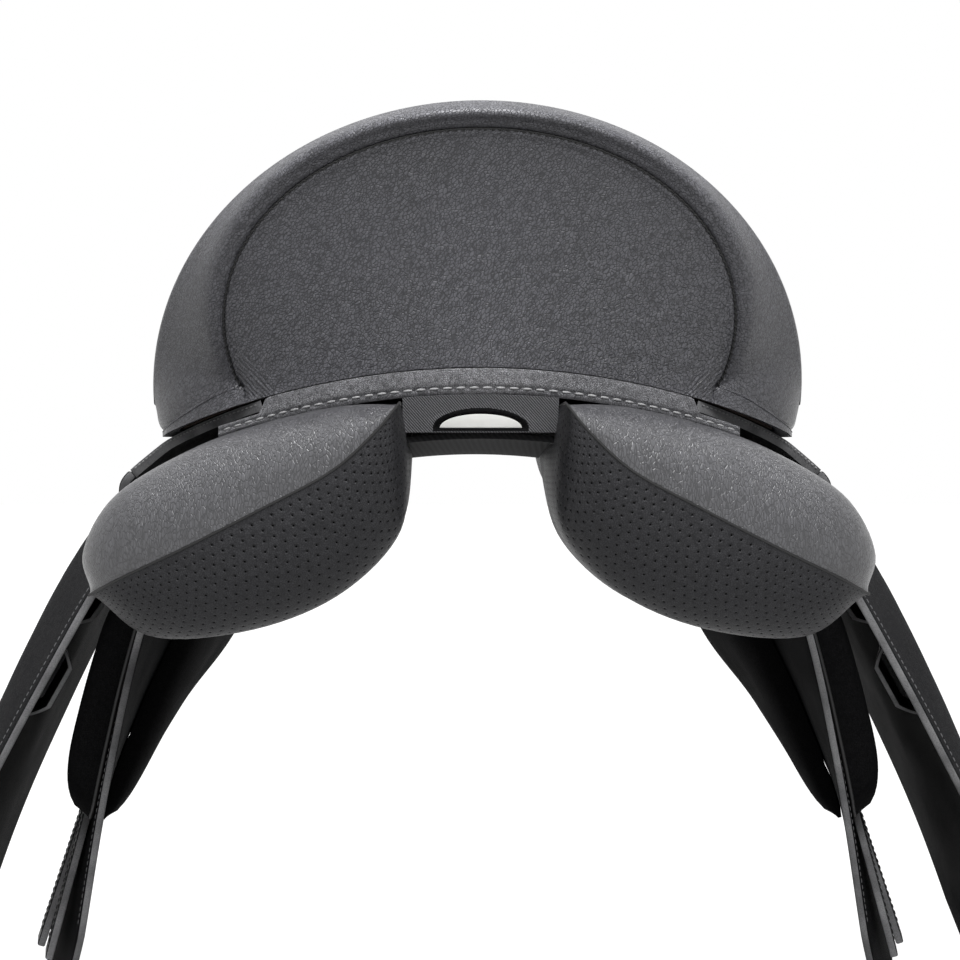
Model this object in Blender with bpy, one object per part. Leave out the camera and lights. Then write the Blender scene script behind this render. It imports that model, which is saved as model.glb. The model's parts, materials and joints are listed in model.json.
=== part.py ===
"""An English jumping saddle with a 17.5 inch seat, at its real size.

Lengths are in metres. X runs to the rider's right, Y forward to the head of the saddle, Z up.
The origin is on the centre plane, level with the underside of the rear panels.
Left and right copies of a piece end in _l and _r, and come from one function.
"""

import math

import bmesh
import bpy
from mathutils import Matrix, Vector

# Gaps between pieces that lie on each other.
GAP = 0.0003
LOOSE = 0.0005
SEAT_REST = 0.0009
WELD = 2e-6

# Seat outline seen from behind: half an ellipse on top of a straight foot.
SEAT_HALF_WIDTH = 0.1465
SEAT_WIDEST_Z = 0.100
CANTLE_RISE = 0.124
CANTLE_Y = -0.226
CANTLE_SWEEP = 0.101
ROLL_BULGE = 0.008
ROLL_SHOULDER = 0.016

# Stitched seam inside the cantle roll, half an ellipse that curls in at its ends.
SEAM_HALF_WIDTH = 0.109
SEAM_MIDDLE_Z = 0.134
SEAM_RISE = 0.0785
SEAM_Y = -0.228
SEAM_SWEEP = 0.0462
SEAM_CURL = 110.0
SEAM_END = 0.857
BACK_HOLLOW = 0.004

# Foot of the seat: where the leather ends on the tree's edge.
FOOT_REAR_Y = -0.198
FOOT_SIDE_Y = -0.125
FOOT_SIDE_X = 0.1425
FOOT_SIDE_Z = 0.086
FOOT_SEAM_X = 0.102
WAIST_Y = 0.020
WAIST_X = 0.095
WAIST_Z = 0.100
HEAD_Y = 0.190
HEAD_X = 0.050
HEAD_Z = 0.140
HEAD_ROUND = 0.028
SIDE_BULGE = 0.004
SIDE_RISE = 0.014
SIDE_WELT = 0.002
SEAM_END_RISE = 0.010
FOOT_INSET = 0.75

# Underside of the tree on the centre line.
ARCH_REAR_Z = 0.1145
ARCH_WAIST_Z = 0.117
ARCH_HEAD_Z = 0.150

# Centre line of the seat.
SEAT_LOW_Y = -0.005
SEAT_LOW_Z = 0.142
SEAT_REAR_LIFT = 0.062
SEAT_HEAD_LIFT = 0.044
DISH_REAR_Y = -0.165
DISH_SIDE_Y = -0.100
DISH_HEAD_Y = 0.155
HEAD_CREST = 0.026

# Layers of the seat, as depths below its surface.
COVER_THICK = 0.003
FOAM_DEPTH = 0.0095
TREE_DEPTH = 0.012
TREE_CREST = 0.022
WEB_THICK = 0.0016
SLOT_HALF = 0.022
SLOT_REAR_Y = -0.085
SLOT_FRONT_Y = 0.105
WEB_EDGE = 2.6

# Flap leather and its fold line, along which the flap is lifted.
FLAP_THICK = 0.0045
FLAP_UNDER_SEAT = 0.030
FOLD_X = 0.162
FOLD_Z = 0.071
FOLD_SLOPE = -0.82
TAIL_Y = -0.172
FLAP_CURL = 0.026
FLAP_CURL_Y = 0.020
FLAP_CURL_SPAN = 0.080
FLAP_FOOT_ROUND = 0.09
FLAP_TOP_REAR = (TAIL_Y, -0.146, -0.112, -0.084)
FLAP_TOP_FRONT = (0.170, 0.208, 0.222, 0.228)
FLAP_REAR = (-0.084, -0.070, -0.052, -0.036, -0.012, 0.030)
FLAP_FRONT = (0.228, 0.252, 0.264, 0.252, 0.216, 0.150)

# Outer face of the flap below its fold, across and up.
FLAP_FACE = (
    (FOLD_X, FOLD_Z),
    (0.181, 0.0555),
    (0.200, 0.030),
    (0.220, -0.006),
    (0.246, -0.062),
    (0.272, -0.130),
    (0.298, -0.225),
)

# Sweat flap, its outer face at its rear and front edges.
SWEAT_THICK = 0.004
SWEAT_FOOT_ROUND = 0.08
SWEAT_TOP_X = 0.120
SWEAT_REAR_Y = -0.045
SWEAT_FRONT_Y = 0.190
SWEAT_FACE_REAR = ((0.148, 0.040), (0.162, -0.004), (0.174, -0.048), (0.184, -0.108), (0.192, -0.200))
SWEAT_FACE_FRONT = ((0.126, 0.045), (0.145, -0.006), (0.178, -0.048), (0.216, -0.108), (0.252, -0.200))
SWEAT_REAR = (-0.030, -0.044, -0.050, -0.038, -0.020, 0.010)
SWEAT_FRONT = (0.175, 0.196, 0.210, 0.208, 0.180, 0.120)

# Panels: the section of the rear cushion seen from behind, across and up.
PANEL_DROP = 0.0125
PANEL_INNER_X = 0.033
PANEL_TOP = (
    (0.034, 0.098),
    (0.060, 0.0973),
    (0.095, 0.0897),
    (0.124, 0.0795),
    (0.157, 0.060),
    (0.172, 0.035),
    (0.168, 0.017),
)
PANEL_UNDER = (
    (0.034, 0.098),
    (0.031, 0.070),
    (0.034, 0.042),
    (0.060, 0.016),
    (0.098, 0.001),
    (0.142, -0.002),
    (0.168, 0.017),
)
PANEL_WELT = (
    (0.034, 0.098),
    (0.044, 0.086),
    (0.062, 0.070),
    (0.090, 0.055),
    (0.124, 0.038),
    (0.152, 0.025),
    (0.168, 0.017),
)
PANEL_REAR_Y = -0.240
PANEL_REAR_CURVE = 0.055
PANEL_ROUND = 0.045
PANEL_FRONT_Y = 0.205
PANEL_FRONT_ROUND = 0.020
PANEL_WIDTHS = ((-0.24, 1.0), (-0.14, 1.0), (0.0, 0.60), (0.12, 0.49), (0.21, 0.43))
PANEL_DEPTHS = ((-0.24, 1.0), (-0.13, 1.0), (0.0, 0.62), (0.12, 0.46), (0.21, 0.38))
WING_THICK = 0.014
WING_SPAN = (0.36, 0.95)
WING_REACH = (0.25, 0.80)

# Blocks on the sweat flap: their place on it and their height.
BLOCK_GAP = 0.0009
BLOCK_EDGE = 0.002
KNEE_SPAN = (0.70, 0.92)
KNEE_REACH = (0.22, 0.74)
KNEE_HEIGHT = 0.030
THIGH_SPAN = (0.04, 0.19)
THIGH_REACH = (0.34, 0.80)
THIGH_HEIGHT = 0.018

# Skirt over the stirrup bar; its thickness is measured straight down.
SKIRT_THICK = 0.003
SKIRT_REAR = (0.024, 0.034, 0.054, 0.086)
SKIRT_FRONT = (0.176, 0.186, 0.190, 0.184)
SKIRT_INNER_GAP = 0.005
SKIRT_EDGE_X = 0.153
SKIRT_LIFT = 0.027
SKIRT_EDGE_LIFT = 0.004
SKIRT_RISE = 3.3
SKIRT_ROUND = 0.12

# Cantle band, gullet facing and lining.
BAND_HALF = 0.114
BAND_HEIGHT = 0.0115
BAND_THICK = 0.005
BAND_PROUD = 0.002
BAND_STEP_X = 0.096
FACING_HALF = 0.030
FACING_Y = FOOT_REAR_Y - LOOSE
FACING_THICK = 0.0035
FACING_FOOT_Z = 0.0865
LINING_HALF = 0.0308
LINING_THICK = 0.003
LINING_CROWN = 0.002
LINING_REAR_Y = -0.192
LINING_FRONT_Y = 0.195
LINING_HEIGHTS = ((-0.192, 0.0848), (-0.05, 0.079), (0.06, 0.088), (0.195, 0.118))
BADGE_HALF = 0.0175
BADGE_FOOT_Z = 0.0885
BADGE_RISE = 0.006
BADGE_THICK = 0.0010

# Gullet plate under the head of the tree.
PLATE_HALF = 0.082
PLATE_REAR_Y = 0.138
PLATE_FRONT_Y = 0.178
PLATE_THICK = 0.0035

# Stirrup bar: a forged bar on a plate beside the foot of the seat.
BAR_Y = 0.112
BAR_OUT = 0.024
BAR_LENGTH = 0.084
BAR_PLATE_WIDTH = 0.022
BAR_PLATE_THICK = 0.0025
BAR_SLOT = 0.0065
BAR_WIDTH = 0.011
BAR_THICK = 0.006
BAR_SEAT = 0.0008
CATCH_LENGTH = 0.0085
CATCH_THICK = 0.003

# Girth straps on the sweat flap, at their top ends.
STRAP_WIDTH = 0.025
STRAP_THICK = 0.004
STRAP_GAP = 0.0011
STRAP_FRONT_Y = 0.094
STRAP_REAR_Y = 0.054
STRAP_REACH = (0.06, 0.99)
STRAP_FLAT = 0.80
STRAP_DRIFT = 0.10
GUARD_REACH = (0.36, 0.60)
GUARD_EDGE = 0.010
GUARD_THICK = 0.003

# Front dee rings in their leather holders.
DEE_Y = 0.205
DEE_X = 0.080
DEE_HALF = 0.011
DEE_WIRE = 0.0018
DEE_DROP = 0.024
HOLDER_LENGTH = 0.016
HOLDER_WIDTH = 0.011
HOLDER_HEIGHT = 0.0065

# Loop on the inner face of the flap and saddle nails.
LOOP_PLACE = (0.10, 0.42)
LOOP_LENGTH = 0.040
LOOP_WIDTH = 0.012
LOOP_THICK = 0.0025
LOOP_STAND = 0.009
NAIL_RADIUS = 0.0065
NAIL_HEIGHT = 0.003


def clear_scene():
    for obj in list(bpy.data.objects):
        bpy.data.objects.remove(obj, do_unlink=True)


def material(name, colour, roughness, metallic=0.0):
    """A Principled material; the colour is linear red, green and blue."""
    made = bpy.data.materials.get(name)
    if made:
        return made
    made = bpy.data.materials.new(name)
    made.use_nodes = True
    shader = made.node_tree.nodes["Principled BSDF"]
    shader.inputs["Base Color"].default_value = (*colour, 1.0)
    shader.inputs["Roughness"].default_value = roughness
    shader.inputs["Metallic"].default_value = metallic
    made.diffuse_color = (*colour, 1.0)
    return made


def seat_leather():
    return material("seat_leather", (0.024, 0.024, 0.026), 0.42)


def flap_leather():
    return material("flap_leather", (0.018, 0.018, 0.019), 0.5)


def panel_leather():
    return material("panel_leather", (0.026, 0.026, 0.028), 0.45)


def lining_leather():
    return material("lining_leather", (0.02, 0.02, 0.021), 0.6)


def strap_leather():
    return material("strap_leather", (0.012, 0.012, 0.012), 0.5)


def wood():
    return material("beech_laminate", (0.42, 0.27, 0.14), 0.6)


def foam():
    return material("foam", (0.55, 0.5, 0.35), 0.9)


def web():
    return material("jute_web", (0.3, 0.26, 0.19), 0.85)


def steel():
    return material("stainless_steel", (0.6, 0.6, 0.6), 0.28, 1.0)


def plate_white():
    return material("plain_plate", (0.7, 0.7, 0.68), 0.35)


def finish(name, bm, made_of, smooth=True, side=1, origin=(0, 0, 0)):
    """Turns a bmesh of the right-hand piece into a node's object, welded, with its faces pointing out.

    side is -1 for the left-hand copy, and origin a point of the right-hand piece's joint axis.
    """
    origin = Vector(origin)
    bmesh.ops.translate(bm, vec=-origin, verts=bm.verts[:])
    bmesh.ops.scale(bm, vec=(side, 1, 1), verts=bm.verts[:])
    bmesh.ops.remove_doubles(bm, verts=bm.verts[:], dist=WELD)
    bmesh.ops.recalc_face_normals(bm, faces=bm.faces[:])
    mesh = bpy.data.meshes.new(name)
    bm.to_mesh(mesh)
    bm.free()
    if smooth:
        mesh.shade_smooth()
        mesh.set_sharp_from_angle(angle=math.radians(40))
    obj = bpy.data.objects.new(name, mesh)
    obj.location = (side * origin.x, origin.y, origin.z)
    obj.data.materials.append(made_of)
    bpy.context.scene.collection.objects.link(obj)
    return obj


def through(points, t):
    """A smooth curve through the points, at t from 0 to 1."""
    last = len(points) - 1
    place = min(max(t, 0.0), 1.0) * last
    i = min(int(place), last - 1)
    f = place - i
    here = points[i]
    after = points[i + 1]
    before = points[i - 1] if i else here * 2 - after
    beyond = points[i + 2] if i + 2 <= last else after * 2 - here
    cubic = (here - after) * 3 + beyond - before
    square = before * 2 - here * 5 + after * 4 - beyond
    return here + ((after - before) * f + square * (f * f) + cubic * (f * f * f)) * 0.5


def blend(a, b, slope_a, slope_b, span, t):
    """A cubic from a to b with the given slopes at its ends."""
    start = 2 * t**3 - 3 * t**2 + 1
    rise = t**3 - 2 * t**2 + t
    fall = t**3 - t**2
    return start * a + rise * span * slope_a + (1 - start) * b + fall * span * slope_b


def step(t):
    """0 below 0, 1 above 1, smooth between."""
    t = min(max(t, 0.0), 1.0)
    return t * t * (3 - 2 * t)


def between(stations, y):
    """A value that changes smoothly from station to station along Y."""
    for (y0, v0), (y1, v1) in zip(stations, stations[1:]):
        if y <= y1:
            return v0 + (v1 - v0) * step((y - y0) / (y1 - y0))
    return stations[-1][1]


def foot_line(y):
    """Where the foot of the seat runs along the side: its X and Z at Y."""
    slope_x = (HEAD_X - WAIST_X) / (HEAD_Y - WAIST_Y)
    slope_z = (HEAD_Z - WAIST_Z) / (HEAD_Y - WAIST_Y)
    if y <= FOOT_SIDE_Y:
        return FOOT_SIDE_X, FOOT_SIDE_Z
    if y < WAIST_Y:
        span = WAIST_Y - FOOT_SIDE_Y
        t = (y - FOOT_SIDE_Y) / span
        x = blend(FOOT_SIDE_X, WAIST_X, 0, slope_x, span, t)
        return x, blend(FOOT_SIDE_Z, WAIST_Z, 0, slope_z, span, t)
    y = min(y, HEAD_Y)
    return WAIST_X + slope_x * (y - WAIST_Y), WAIST_Z + slope_z * (y - WAIST_Y)


def arch(x, y):
    """Height of the underside of the tree."""
    top = between(((FOOT_SIDE_Y, ARCH_REAR_Z), (WAIST_Y, ARCH_WAIST_Z), (HEAD_Y, ARCH_HEAD_Z)), y)
    edge_x, edge_z = foot_line(y)
    return top - (top - edge_z) * (x / edge_x) ** 2


def rear_line(x):
    """The foot of the cantle seen from above: Y at X."""
    across = min(abs(x) / FOOT_SIDE_X, 1.0)
    return FOOT_REAR_Y + (FOOT_SIDE_Y - FOOT_REAR_Y) * (1 - math.sqrt(1 - across**1.6))


def centre_line(y):
    """Height of the seat's surface on the centre line, and its slope."""
    if y < SEAT_LOW_Y:
        run = (SEAT_LOW_Y - y) / 0.19
        return SEAT_LOW_Z + SEAT_REAR_LIFT * run**2.2, -2.2 * SEAT_REAR_LIFT * run**1.2 / 0.19
    run = (y - SEAT_LOW_Y) / 0.2
    return SEAT_LOW_Z + SEAT_HEAD_LIFT * run**2, 2 * SEAT_HEAD_LIFT * run / 0.2


def seat_guides(a, depth, crest):
    """The lines that the seat is drawn over, at a from 0 behind, 1 and 2 along the side, to 3 in front.

    depth is how far below the surface the layer lies, and crest how far below the cantle's rim.
    """
    up = Vector((0, 0, 1))
    if a <= 1:
        turn = math.pi / 2 * a
        sin, cos = math.sin(turn), math.cos(turn)
        radial = Vector((sin, 0, cos))
        outward = Vector((sin, -cos, 0))
        wide = Vector(
            (SEAT_HALF_WIDTH * sin, CANTLE_Y + CANTLE_SWEEP * (1 - cos), SEAT_WIDEST_Z + CANTLE_RISE * cos)
        )
        past = max(a - SEAM_END, 0) / (1 - SEAM_END)
        foot_x = FOOT_SEAM_X * min(a / SEAM_END, 1) ** 0.9 + (FOOT_SIDE_X - FOOT_SEAM_X) * past
        foot = Vector((foot_x, rear_line(foot_x), 0)) - outward * depth * FOOT_INSET
        foot.z = arch(foot.x, FOOT_SIDE_Y)
        curl = math.radians(SEAM_CURL) * min(a / SEAM_END, 1)
        seam = Vector(
            (
                SEAM_HALF_WIDTH * math.sin(curl),
                SEAM_Y + SEAM_SWEEP * (1 - math.cos(curl)),
                SEAM_MIDDLE_Z + SEAM_RISE * math.cos(curl),
            )
        )
        seam -= Vector((math.sin(curl), 0, math.cos(curl))) * (crest - depth) * cos + outward * depth
        if past:
            seam = foot + up * (SEAM_END_RISE + (SIDE_WELT - SEAM_END_RISE) * past)
        lean = Vector((0, cos, 0)) + Vector((-cos, 0, sin)) * sin
        centre_y = DISH_REAR_Y + (DISH_SIDE_Y - DISH_REAR_Y) * a
        sag = 0.0
    else:
        turn = math.pi / 2 * max(a - 2, 0)
        sin, cos = 1.0, 0.0
        outward = Vector((math.cos(turn), math.sin(turn), 0))
        radial = outward
        y = FOOT_SIDE_Y + (HEAD_Y - FOOT_SIDE_Y) * min(a - 1, 1)
        edge_x, _ = foot_line(y)
        foot = Vector((edge_x * math.cos(turn), y + HEAD_ROUND * math.sin(turn), 0))
        wide = foot + outward * SIDE_BULGE + up * (arch(foot.x, foot.y) + SIDE_RISE)
        foot -= outward * depth * FOOT_INSET
        foot.z = arch(foot.x, foot.y)
        seam = foot + up * SIDE_WELT
        lean = up
        centre_y = DISH_SIDE_Y + (DISH_HEAD_Y - DISH_SIDE_Y) * min(a - 1, 1) + 0.010 * math.sin(turn)
        sag = HEAD_CREST * math.sin(turn)
    height, slope = centre_line(centre_y)
    centre = Vector((0, centre_y, height))
    rise = cos * ROLL_SHOULDER + sin * 0.55 * (height - wide.z) + sag
    wide = wide - radial * (cos * crest + sin * depth) + Vector((0, 0.8 * crest * cos, 0))
    across = Vector((wide.x, wide.y - centre.y, 0))
    reach = across.length / 2
    away = across.normalized()
    away.z = slope * away.y
    centre.z -= depth
    return foot, seam, wide, centre, wide + lean * rise, centre + away * reach


def seat_point(a, r, depth=0.0, crest=0.0):
    """A point of the seat: r is 0 at the foot, 1 at the seam, 2 at the rim and 3 on the centre line."""
    foot, seam, wide, centre, near_rim, near_centre = seat_guides(a, depth, crest)
    if r <= 1:
        point = foot.lerp(seam, r)
        if a < SEAM_END:
            point += Vector((0, BACK_HOLLOW * 4 * r * (1 - r) * math.cos(math.pi / 2 * a), 0))
        return point
    if r <= 2:
        k = r - 1
        before = seat_guides(max(a - 0.02, 0), depth, crest)[2]
        beyond = seat_guides(min(a + 0.02, 3), depth, crest)[2]
        swell = (beyond - before).cross(wide - seam).normalized()
        if swell.dot(wide - Vector((0, -0.06, 0.12))) < 0:
            swell = -swell
        bulge = ROLL_BULGE * math.cos(math.pi / 2 * min(a, 1)) + SIDE_BULGE / 2
        bulge *= 1 - crest / TREE_CREST
        if a in (0, 3):
            swell.x = 0
        return seam.lerp(wide, k) + swell * bulge * 4 * k * (1 - k)
    k = r - 2
    point = wide * (1 - k) ** 3 + near_rim * 3 * k * (1 - k) ** 2
    point += near_centre * 3 * k * k * (1 - k) + centre * k**3
    if k == 1 or a in (0, 3):
        point.x = 0
    return point


REAR_STEPS = 10
SIDE_STEPS = 8
HEAD_STEPS = 3
ROUND_SEAT = [k / REAR_STEPS for k in range(REAR_STEPS)]
ROUND_SEAT += [1 + k / SIDE_STEPS for k in range(SIDE_STEPS)]
ROUND_SEAT += [2 + k / HEAD_STEPS for k in range(HEAD_STEPS + 1)]
UP_SEAT = (0, 0.5, 1, 1.3, 1.65, 2, 2.15, 2.35, 2.6, 3)


def split_quads(bm, where):
    """Splits each quad along the same diagonal, so that layers that lie on each other keep their gap."""
    for face in bm.faces[:]:
        order = sorted(face.verts, key=lambda v: v[where].x + v[where].y)
        ends, others = (order[0], order[-1]), (order[1], order[2])
        if all(vert.is_boundary for vert in ends) and not all(vert.is_boundary for vert in others):
            ends = others
        if not any(ends[1] in edge.verts for edge in ends[0].link_edges):
            bmesh.utils.face_split(face, *ends)


def half_shell(name, rows, made_of):
    """A closed body from rows that run round half of the seat, mirrored to the other half.

    Each row is its level from foot to centre line and a function of the place round the seat.
    """
    bm = bmesh.new()
    where = bm.verts.layers.float_vector.new("where")
    across, round_it = len(rows) - 1, len(ROUND_SEAT) - 1
    grid = bmesh.ops.create_grid(bm, x_segments=across, y_segments=round_it, size=0.5)
    for vert in grid["verts"]:
        level, row = rows[round((vert.co.x + 0.5) * across)]
        place = round((vert.co.y + 0.5) * round_it)
        vert[where] = (place / round_it, level, 0)
        vert.co = row(ROUND_SEAT[place])
    split_quads(bm, where)
    bmesh.ops.mirror(bm, geom=bm.verts[:] + bm.edges[:] + bm.faces[:], axis="X", merge_dist=1e-5)
    return finish(name, bm, made_of)


def layer_rows(depth, crest, levels=UP_SEAT):
    return [(r, lambda a, r=r: seat_point(a, r, depth, crest)) for r in levels]


def seat_cover():
    inner = layer_rows(COVER_THICK, COVER_THICK)
    return half_shell("seat_cover", inner[::-1] + layer_rows(0.0, 0.0), seat_leather())


def seat_foam():
    outer = layer_rows(COVER_THICK + GAP, COVER_THICK + GAP)
    inner = layer_rows(FOAM_DEPTH, TREE_CREST - TREE_DEPTH + FOAM_DEPTH)
    return half_shell("seat_foam", inner[::-1] + outer, foam())


def tree_bottom(a, k):
    """The underside of the tree, from the centre line at k = 0 to its foot at k = 1."""
    foot = seat_point(a, 0, TREE_DEPTH, TREE_CREST)
    y = foot.y * (1 - 0.25 * (1 - k))
    x = foot.x * k
    return Vector((x, y, arch(x, y)))


def tree():
    bottom = [(k - 1, lambda a, k=k: tree_bottom(a, k)) for k in (0, 0.3, 0.55, 0.75, 0.9, 1)]
    top = layer_rows(TREE_DEPTH, TREE_CREST, UP_SEAT[1:])
    obj = half_shell("tree", bottom + top, wood())
    bm = bmesh.new()
    length = SLOT_FRONT_Y - SLOT_REAR_Y
    bmesh.ops.create_cube(bm, size=1.0)
    for vert in bm.verts:
        vert.co.x *= 2 * SLOT_HALF
        vert.co.y = vert.co.y * length + (SLOT_FRONT_Y + SLOT_REAR_Y) / 2
        vert.co.z = vert.co.z * 0.2 + ARCH_WAIST_Z
    upright = [edge for edge in bm.edges if abs(edge.verts[0].co.z - edge.verts[1].co.z) > 0.1]
    bmesh.ops.bevel(bm, geom=upright, offset=SLOT_HALF * 0.8, segments=3, profile=0.5, affect="EDGES")
    cutter = finish("slot_cutter", bm, wood())
    cutter.hide_render = True
    cutter.display_type = "WIRE"
    cut = obj.modifiers.new("slot", "BOOLEAN")
    cut.operation = "DIFFERENCE"
    cut.object = cutter
    return obj


def slab(name, segments, upper, lower, made_of, **placed):
    """A closed body between two surfaces over u and w from 0 to 1, joined round their edge."""
    bm = bmesh.new()
    where = bm.verts.layers.float_vector.new("where")
    grid = bmesh.ops.create_grid(bm, x_segments=segments[0], y_segments=segments[1], size=0.5)
    for vert in grid["verts"]:
        vert[where] = (vert.co.x + 0.5, vert.co.y + 0.5, 0)
    split_quads(bm, where)
    grown = bmesh.ops.extrude_face_region(bm, geom=bm.faces[:])["geom"]
    under = {item for item in grown if isinstance(item, bmesh.types.BMVert)}
    for vert in bm.verts:
        u, w, _ = vert[where]
        vert.co = (lower if vert in under else upper)(u, w)
    return finish(name, bm, made_of, **placed)


def offset(surface, height):
    """The surface moved by height along its normal, which points away from the centre plane."""

    def moved(u, w):
        span = 0.01
        u0, u1 = max(u - span, 0), min(u + span, 1)
        w0, w1 = max(w - span, 0), min(w + span, 1)
        normal = (surface(u1, w) - surface(u0, w)).cross(surface(u, w1) - surface(u, w0)).normalized()
        if normal.x < 0:
            normal = -normal
        return surface(u, w) + normal * (height(u, w) if callable(height) else height)

    return moved


def part_of(surface, span, reach):
    """The stretch of a surface between two u values and two w values."""

    def stretch(u, w):
        return surface(span[0] + (span[1] - span[0]) * u, reach[0] + (reach[1] - reach[0]) * w)

    return stretch


def flap_height(x, y):
    """Upper face of the flap's fixed top: under the seat along the arch, then out to the fold."""
    edge_x, edge_z = foot_line(y)
    if x <= edge_x:
        return arch(x, y) - SEAT_REST
    slope = -2 * (arch(0, y) - edge_z) / edge_x
    span = FOLD_X - edge_x
    return blend(edge_z - SEAT_REST, FOLD_Z, slope, FOLD_SLOPE, span, (x - edge_x) / span)


def flap_top_face(u, w):
    rear, front = through(FLAP_TOP_REAR, w), through(FLAP_TOP_FRONT, w)
    y = rear + (front - rear) * u
    inner = foot_line(y)[0] - FLAP_UNDER_SEAT
    x = inner + (FOLD_X - LOOSE / 2 - inner) * w
    return Vector((x, y, flap_height(x, y)))


def flap_face(u, w):
    """Outer face of the flap below its fold; it curls in toward its rear edge, and its foot is round."""
    w *= 1 - FLAP_FOOT_ROUND * (2 * u - 1) ** 4
    rear, front = through(FLAP_REAR, w), through(FLAP_FRONT, w)
    y = rear + (front - rear) * u
    spot = through([Vector(point) for point in FLAP_FACE], w)
    curl = step((FLAP_CURL_Y - y) / FLAP_CURL_SPAN) * FLAP_CURL * step(w * 3)
    return Vector((spot.x + LOOSE / 2 - curl, y, spot.y))


def sweat_at(y, w):
    """Outer face of the sweat flap at Y, from its top under the flap at w = 0 to its foot at w = 1."""
    share = (y - SWEAT_REAR_Y) / (SWEAT_FRONT_Y - SWEAT_REAR_Y)
    top = Vector((SWEAT_TOP_X, flap_height(SWEAT_TOP_X, y) - 1.25 * FLAP_THICK - LOOSE))
    points = [top]
    for rear, front in zip(SWEAT_FACE_REAR, SWEAT_FACE_FRONT):
        points.append(Vector(rear).lerp(Vector(front), share))
    spot = through(points, w)
    return Vector((spot.x, y, spot.y))


def sweat_face(u, w):
    w *= 1 - SWEAT_FOOT_ROUND * (2 * u - 1) ** 4
    rear, front = through(SWEAT_REAR, w), through(SWEAT_FRONT, w)
    return sweat_at(rear + (front - rear) * u, w)


def dome(u, w):
    """A height from 0 at the edge to 1 over most of the middle."""
    return math.sqrt(max(0.0, (1 - (2 * u - 1) ** 4) * (1 - (2 * w - 1) ** 6)))


def flap_top(name, side):
    return slab(name, (12, 5), flap_top_face, offset(flap_top_face, -FLAP_THICK), flap_leather(), side=side)


def flap(name, side):
    hinge = (FOLD_X, 0, FOLD_Z)
    return slab(
        name, (8, 10), flap_face, offset(flap_face, -FLAP_THICK), flap_leather(), side=side, origin=hinge
    )


def sweat_flap(name, side):
    return slab(name, (6, 16), sweat_face, offset(sweat_face, -SWEAT_THICK), flap_leather(), side=side)


def wing(name, side):
    face = part_of(sweat_face, WING_SPAN, WING_REACH)
    top = offset(face, -SWEAT_THICK - BLOCK_GAP)
    under = offset(face, lambda u, w: -SWEAT_THICK - BLOCK_GAP - BLOCK_EDGE - WING_THICK * dome(u, w))
    return slab(name, (6, 7), top, under, lining_leather(), side=side)


def block(name, side, span, reach, height):
    face = part_of(sweat_face, span, reach)
    over = offset(face, lambda u, w: BLOCK_GAP + BLOCK_EDGE + height * dome(u, w))
    return slab(name, (6, 10), over, offset(face, BLOCK_GAP), panel_leather(), side=side)


def skirt_face(u, w):
    """Upper face of the skirt, raised over the stirrup bar; its outer corners are round."""
    w *= 1 - SKIRT_ROUND * (2 * u - 1) ** 4
    rear, front = through(SKIRT_REAR, w), through(SKIRT_FRONT, w)
    y = rear + (front - rear) * u
    inner = foot_line(y)[0] + SKIRT_INNER_GAP
    x = inner + (SKIRT_EDGE_X - inner) * w
    over_bar = step(min(u, 1 - u) * 8) * step(w * SKIRT_RISE)
    over_bar *= 1 - step(w * 1.6 - 0.6)
    lift = SKIRT_EDGE_LIFT * step(w * SKIRT_RISE) + (SKIRT_LIFT - SKIRT_EDGE_LIFT) * over_bar
    return Vector((x, y, flap_height(x, y) + 2 * LOOSE + SKIRT_THICK + lift))


def skirt_under(u, w):
    return skirt_face(u, w) - Vector((0, 0, SKIRT_THICK))


def skirt(name, side):
    hinge = skirt_face(0, 0)
    return slab(name, (10, 7), skirt_face, skirt_under, flap_leather(), side=side, origin=hinge)


def panel_place(point, y):
    """A point of the rear section carried forward to Y, under the arch there."""
    x, z = point
    depth = arch(x, FOOT_SIDE_Y) - z - PANEL_DROP
    moved_x = PANEL_INNER_X + (x - PANEL_INNER_X) * between(PANEL_WIDTHS, y)
    return Vector((moved_x, y, arch(moved_x, y) - PANEL_DROP - depth * between(PANEL_DEPTHS, y)))


def panel_surface(chain):
    """One face of the panel, closed onto its welt behind and in front."""
    outline = [Vector(point) for point in chain]
    welt = [Vector(point) for point in PANEL_WELT]

    def surface(u, w):
        start = PANEL_REAR_Y + PANEL_REAR_CURVE * u**2.5
        cap, front_cap = 0.32, 0.85
        if w <= cap:
            turn = math.pi / 2 * w / cap
            y, full = start + PANEL_ROUND * (1 - math.cos(turn)), math.sin(turn)
        elif w <= front_cap:
            share = (w - cap) / (front_cap - cap)
            y = start + PANEL_ROUND + (PANEL_FRONT_Y - PANEL_FRONT_ROUND - start - PANEL_ROUND) * share
            full = 1.0
        else:
            turn = math.pi / 2 * (w - front_cap) / (1 - front_cap)
            y, full = PANEL_FRONT_Y - PANEL_FRONT_ROUND * (1 - math.sin(turn)), math.cos(turn)
        on_welt = panel_place(through(welt, u), y)
        return on_welt.lerp(panel_place(through(outline, u), y), max(full, 0))

    return surface


def panel(name, side):
    top, under = panel_surface(PANEL_TOP), panel_surface(PANEL_UNDER)
    return slab(name, (12, 14), top, under, panel_leather(), side=side)


def cantle_band():
    def face(proud):
        def surface(u, w):
            x = BAND_HALF * (2 * u - 1)
            under_tail = step((abs(x) - BAND_STEP_X + 0.004) / 0.004)
            top = arch(x, FOOT_SIDE_Y) - LOOSE - 0.006 * under_tail
            foot = arch(x, FOOT_SIDE_Y) - BAND_HEIGHT
            return Vector((x, rear_line(x) - proud, top + (foot - top) * w))

        return surface

    return slab("cantle_band", (26, 2), face(BAND_PROUD), face(BAND_PROUD - BAND_THICK), panel_leather())


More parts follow.
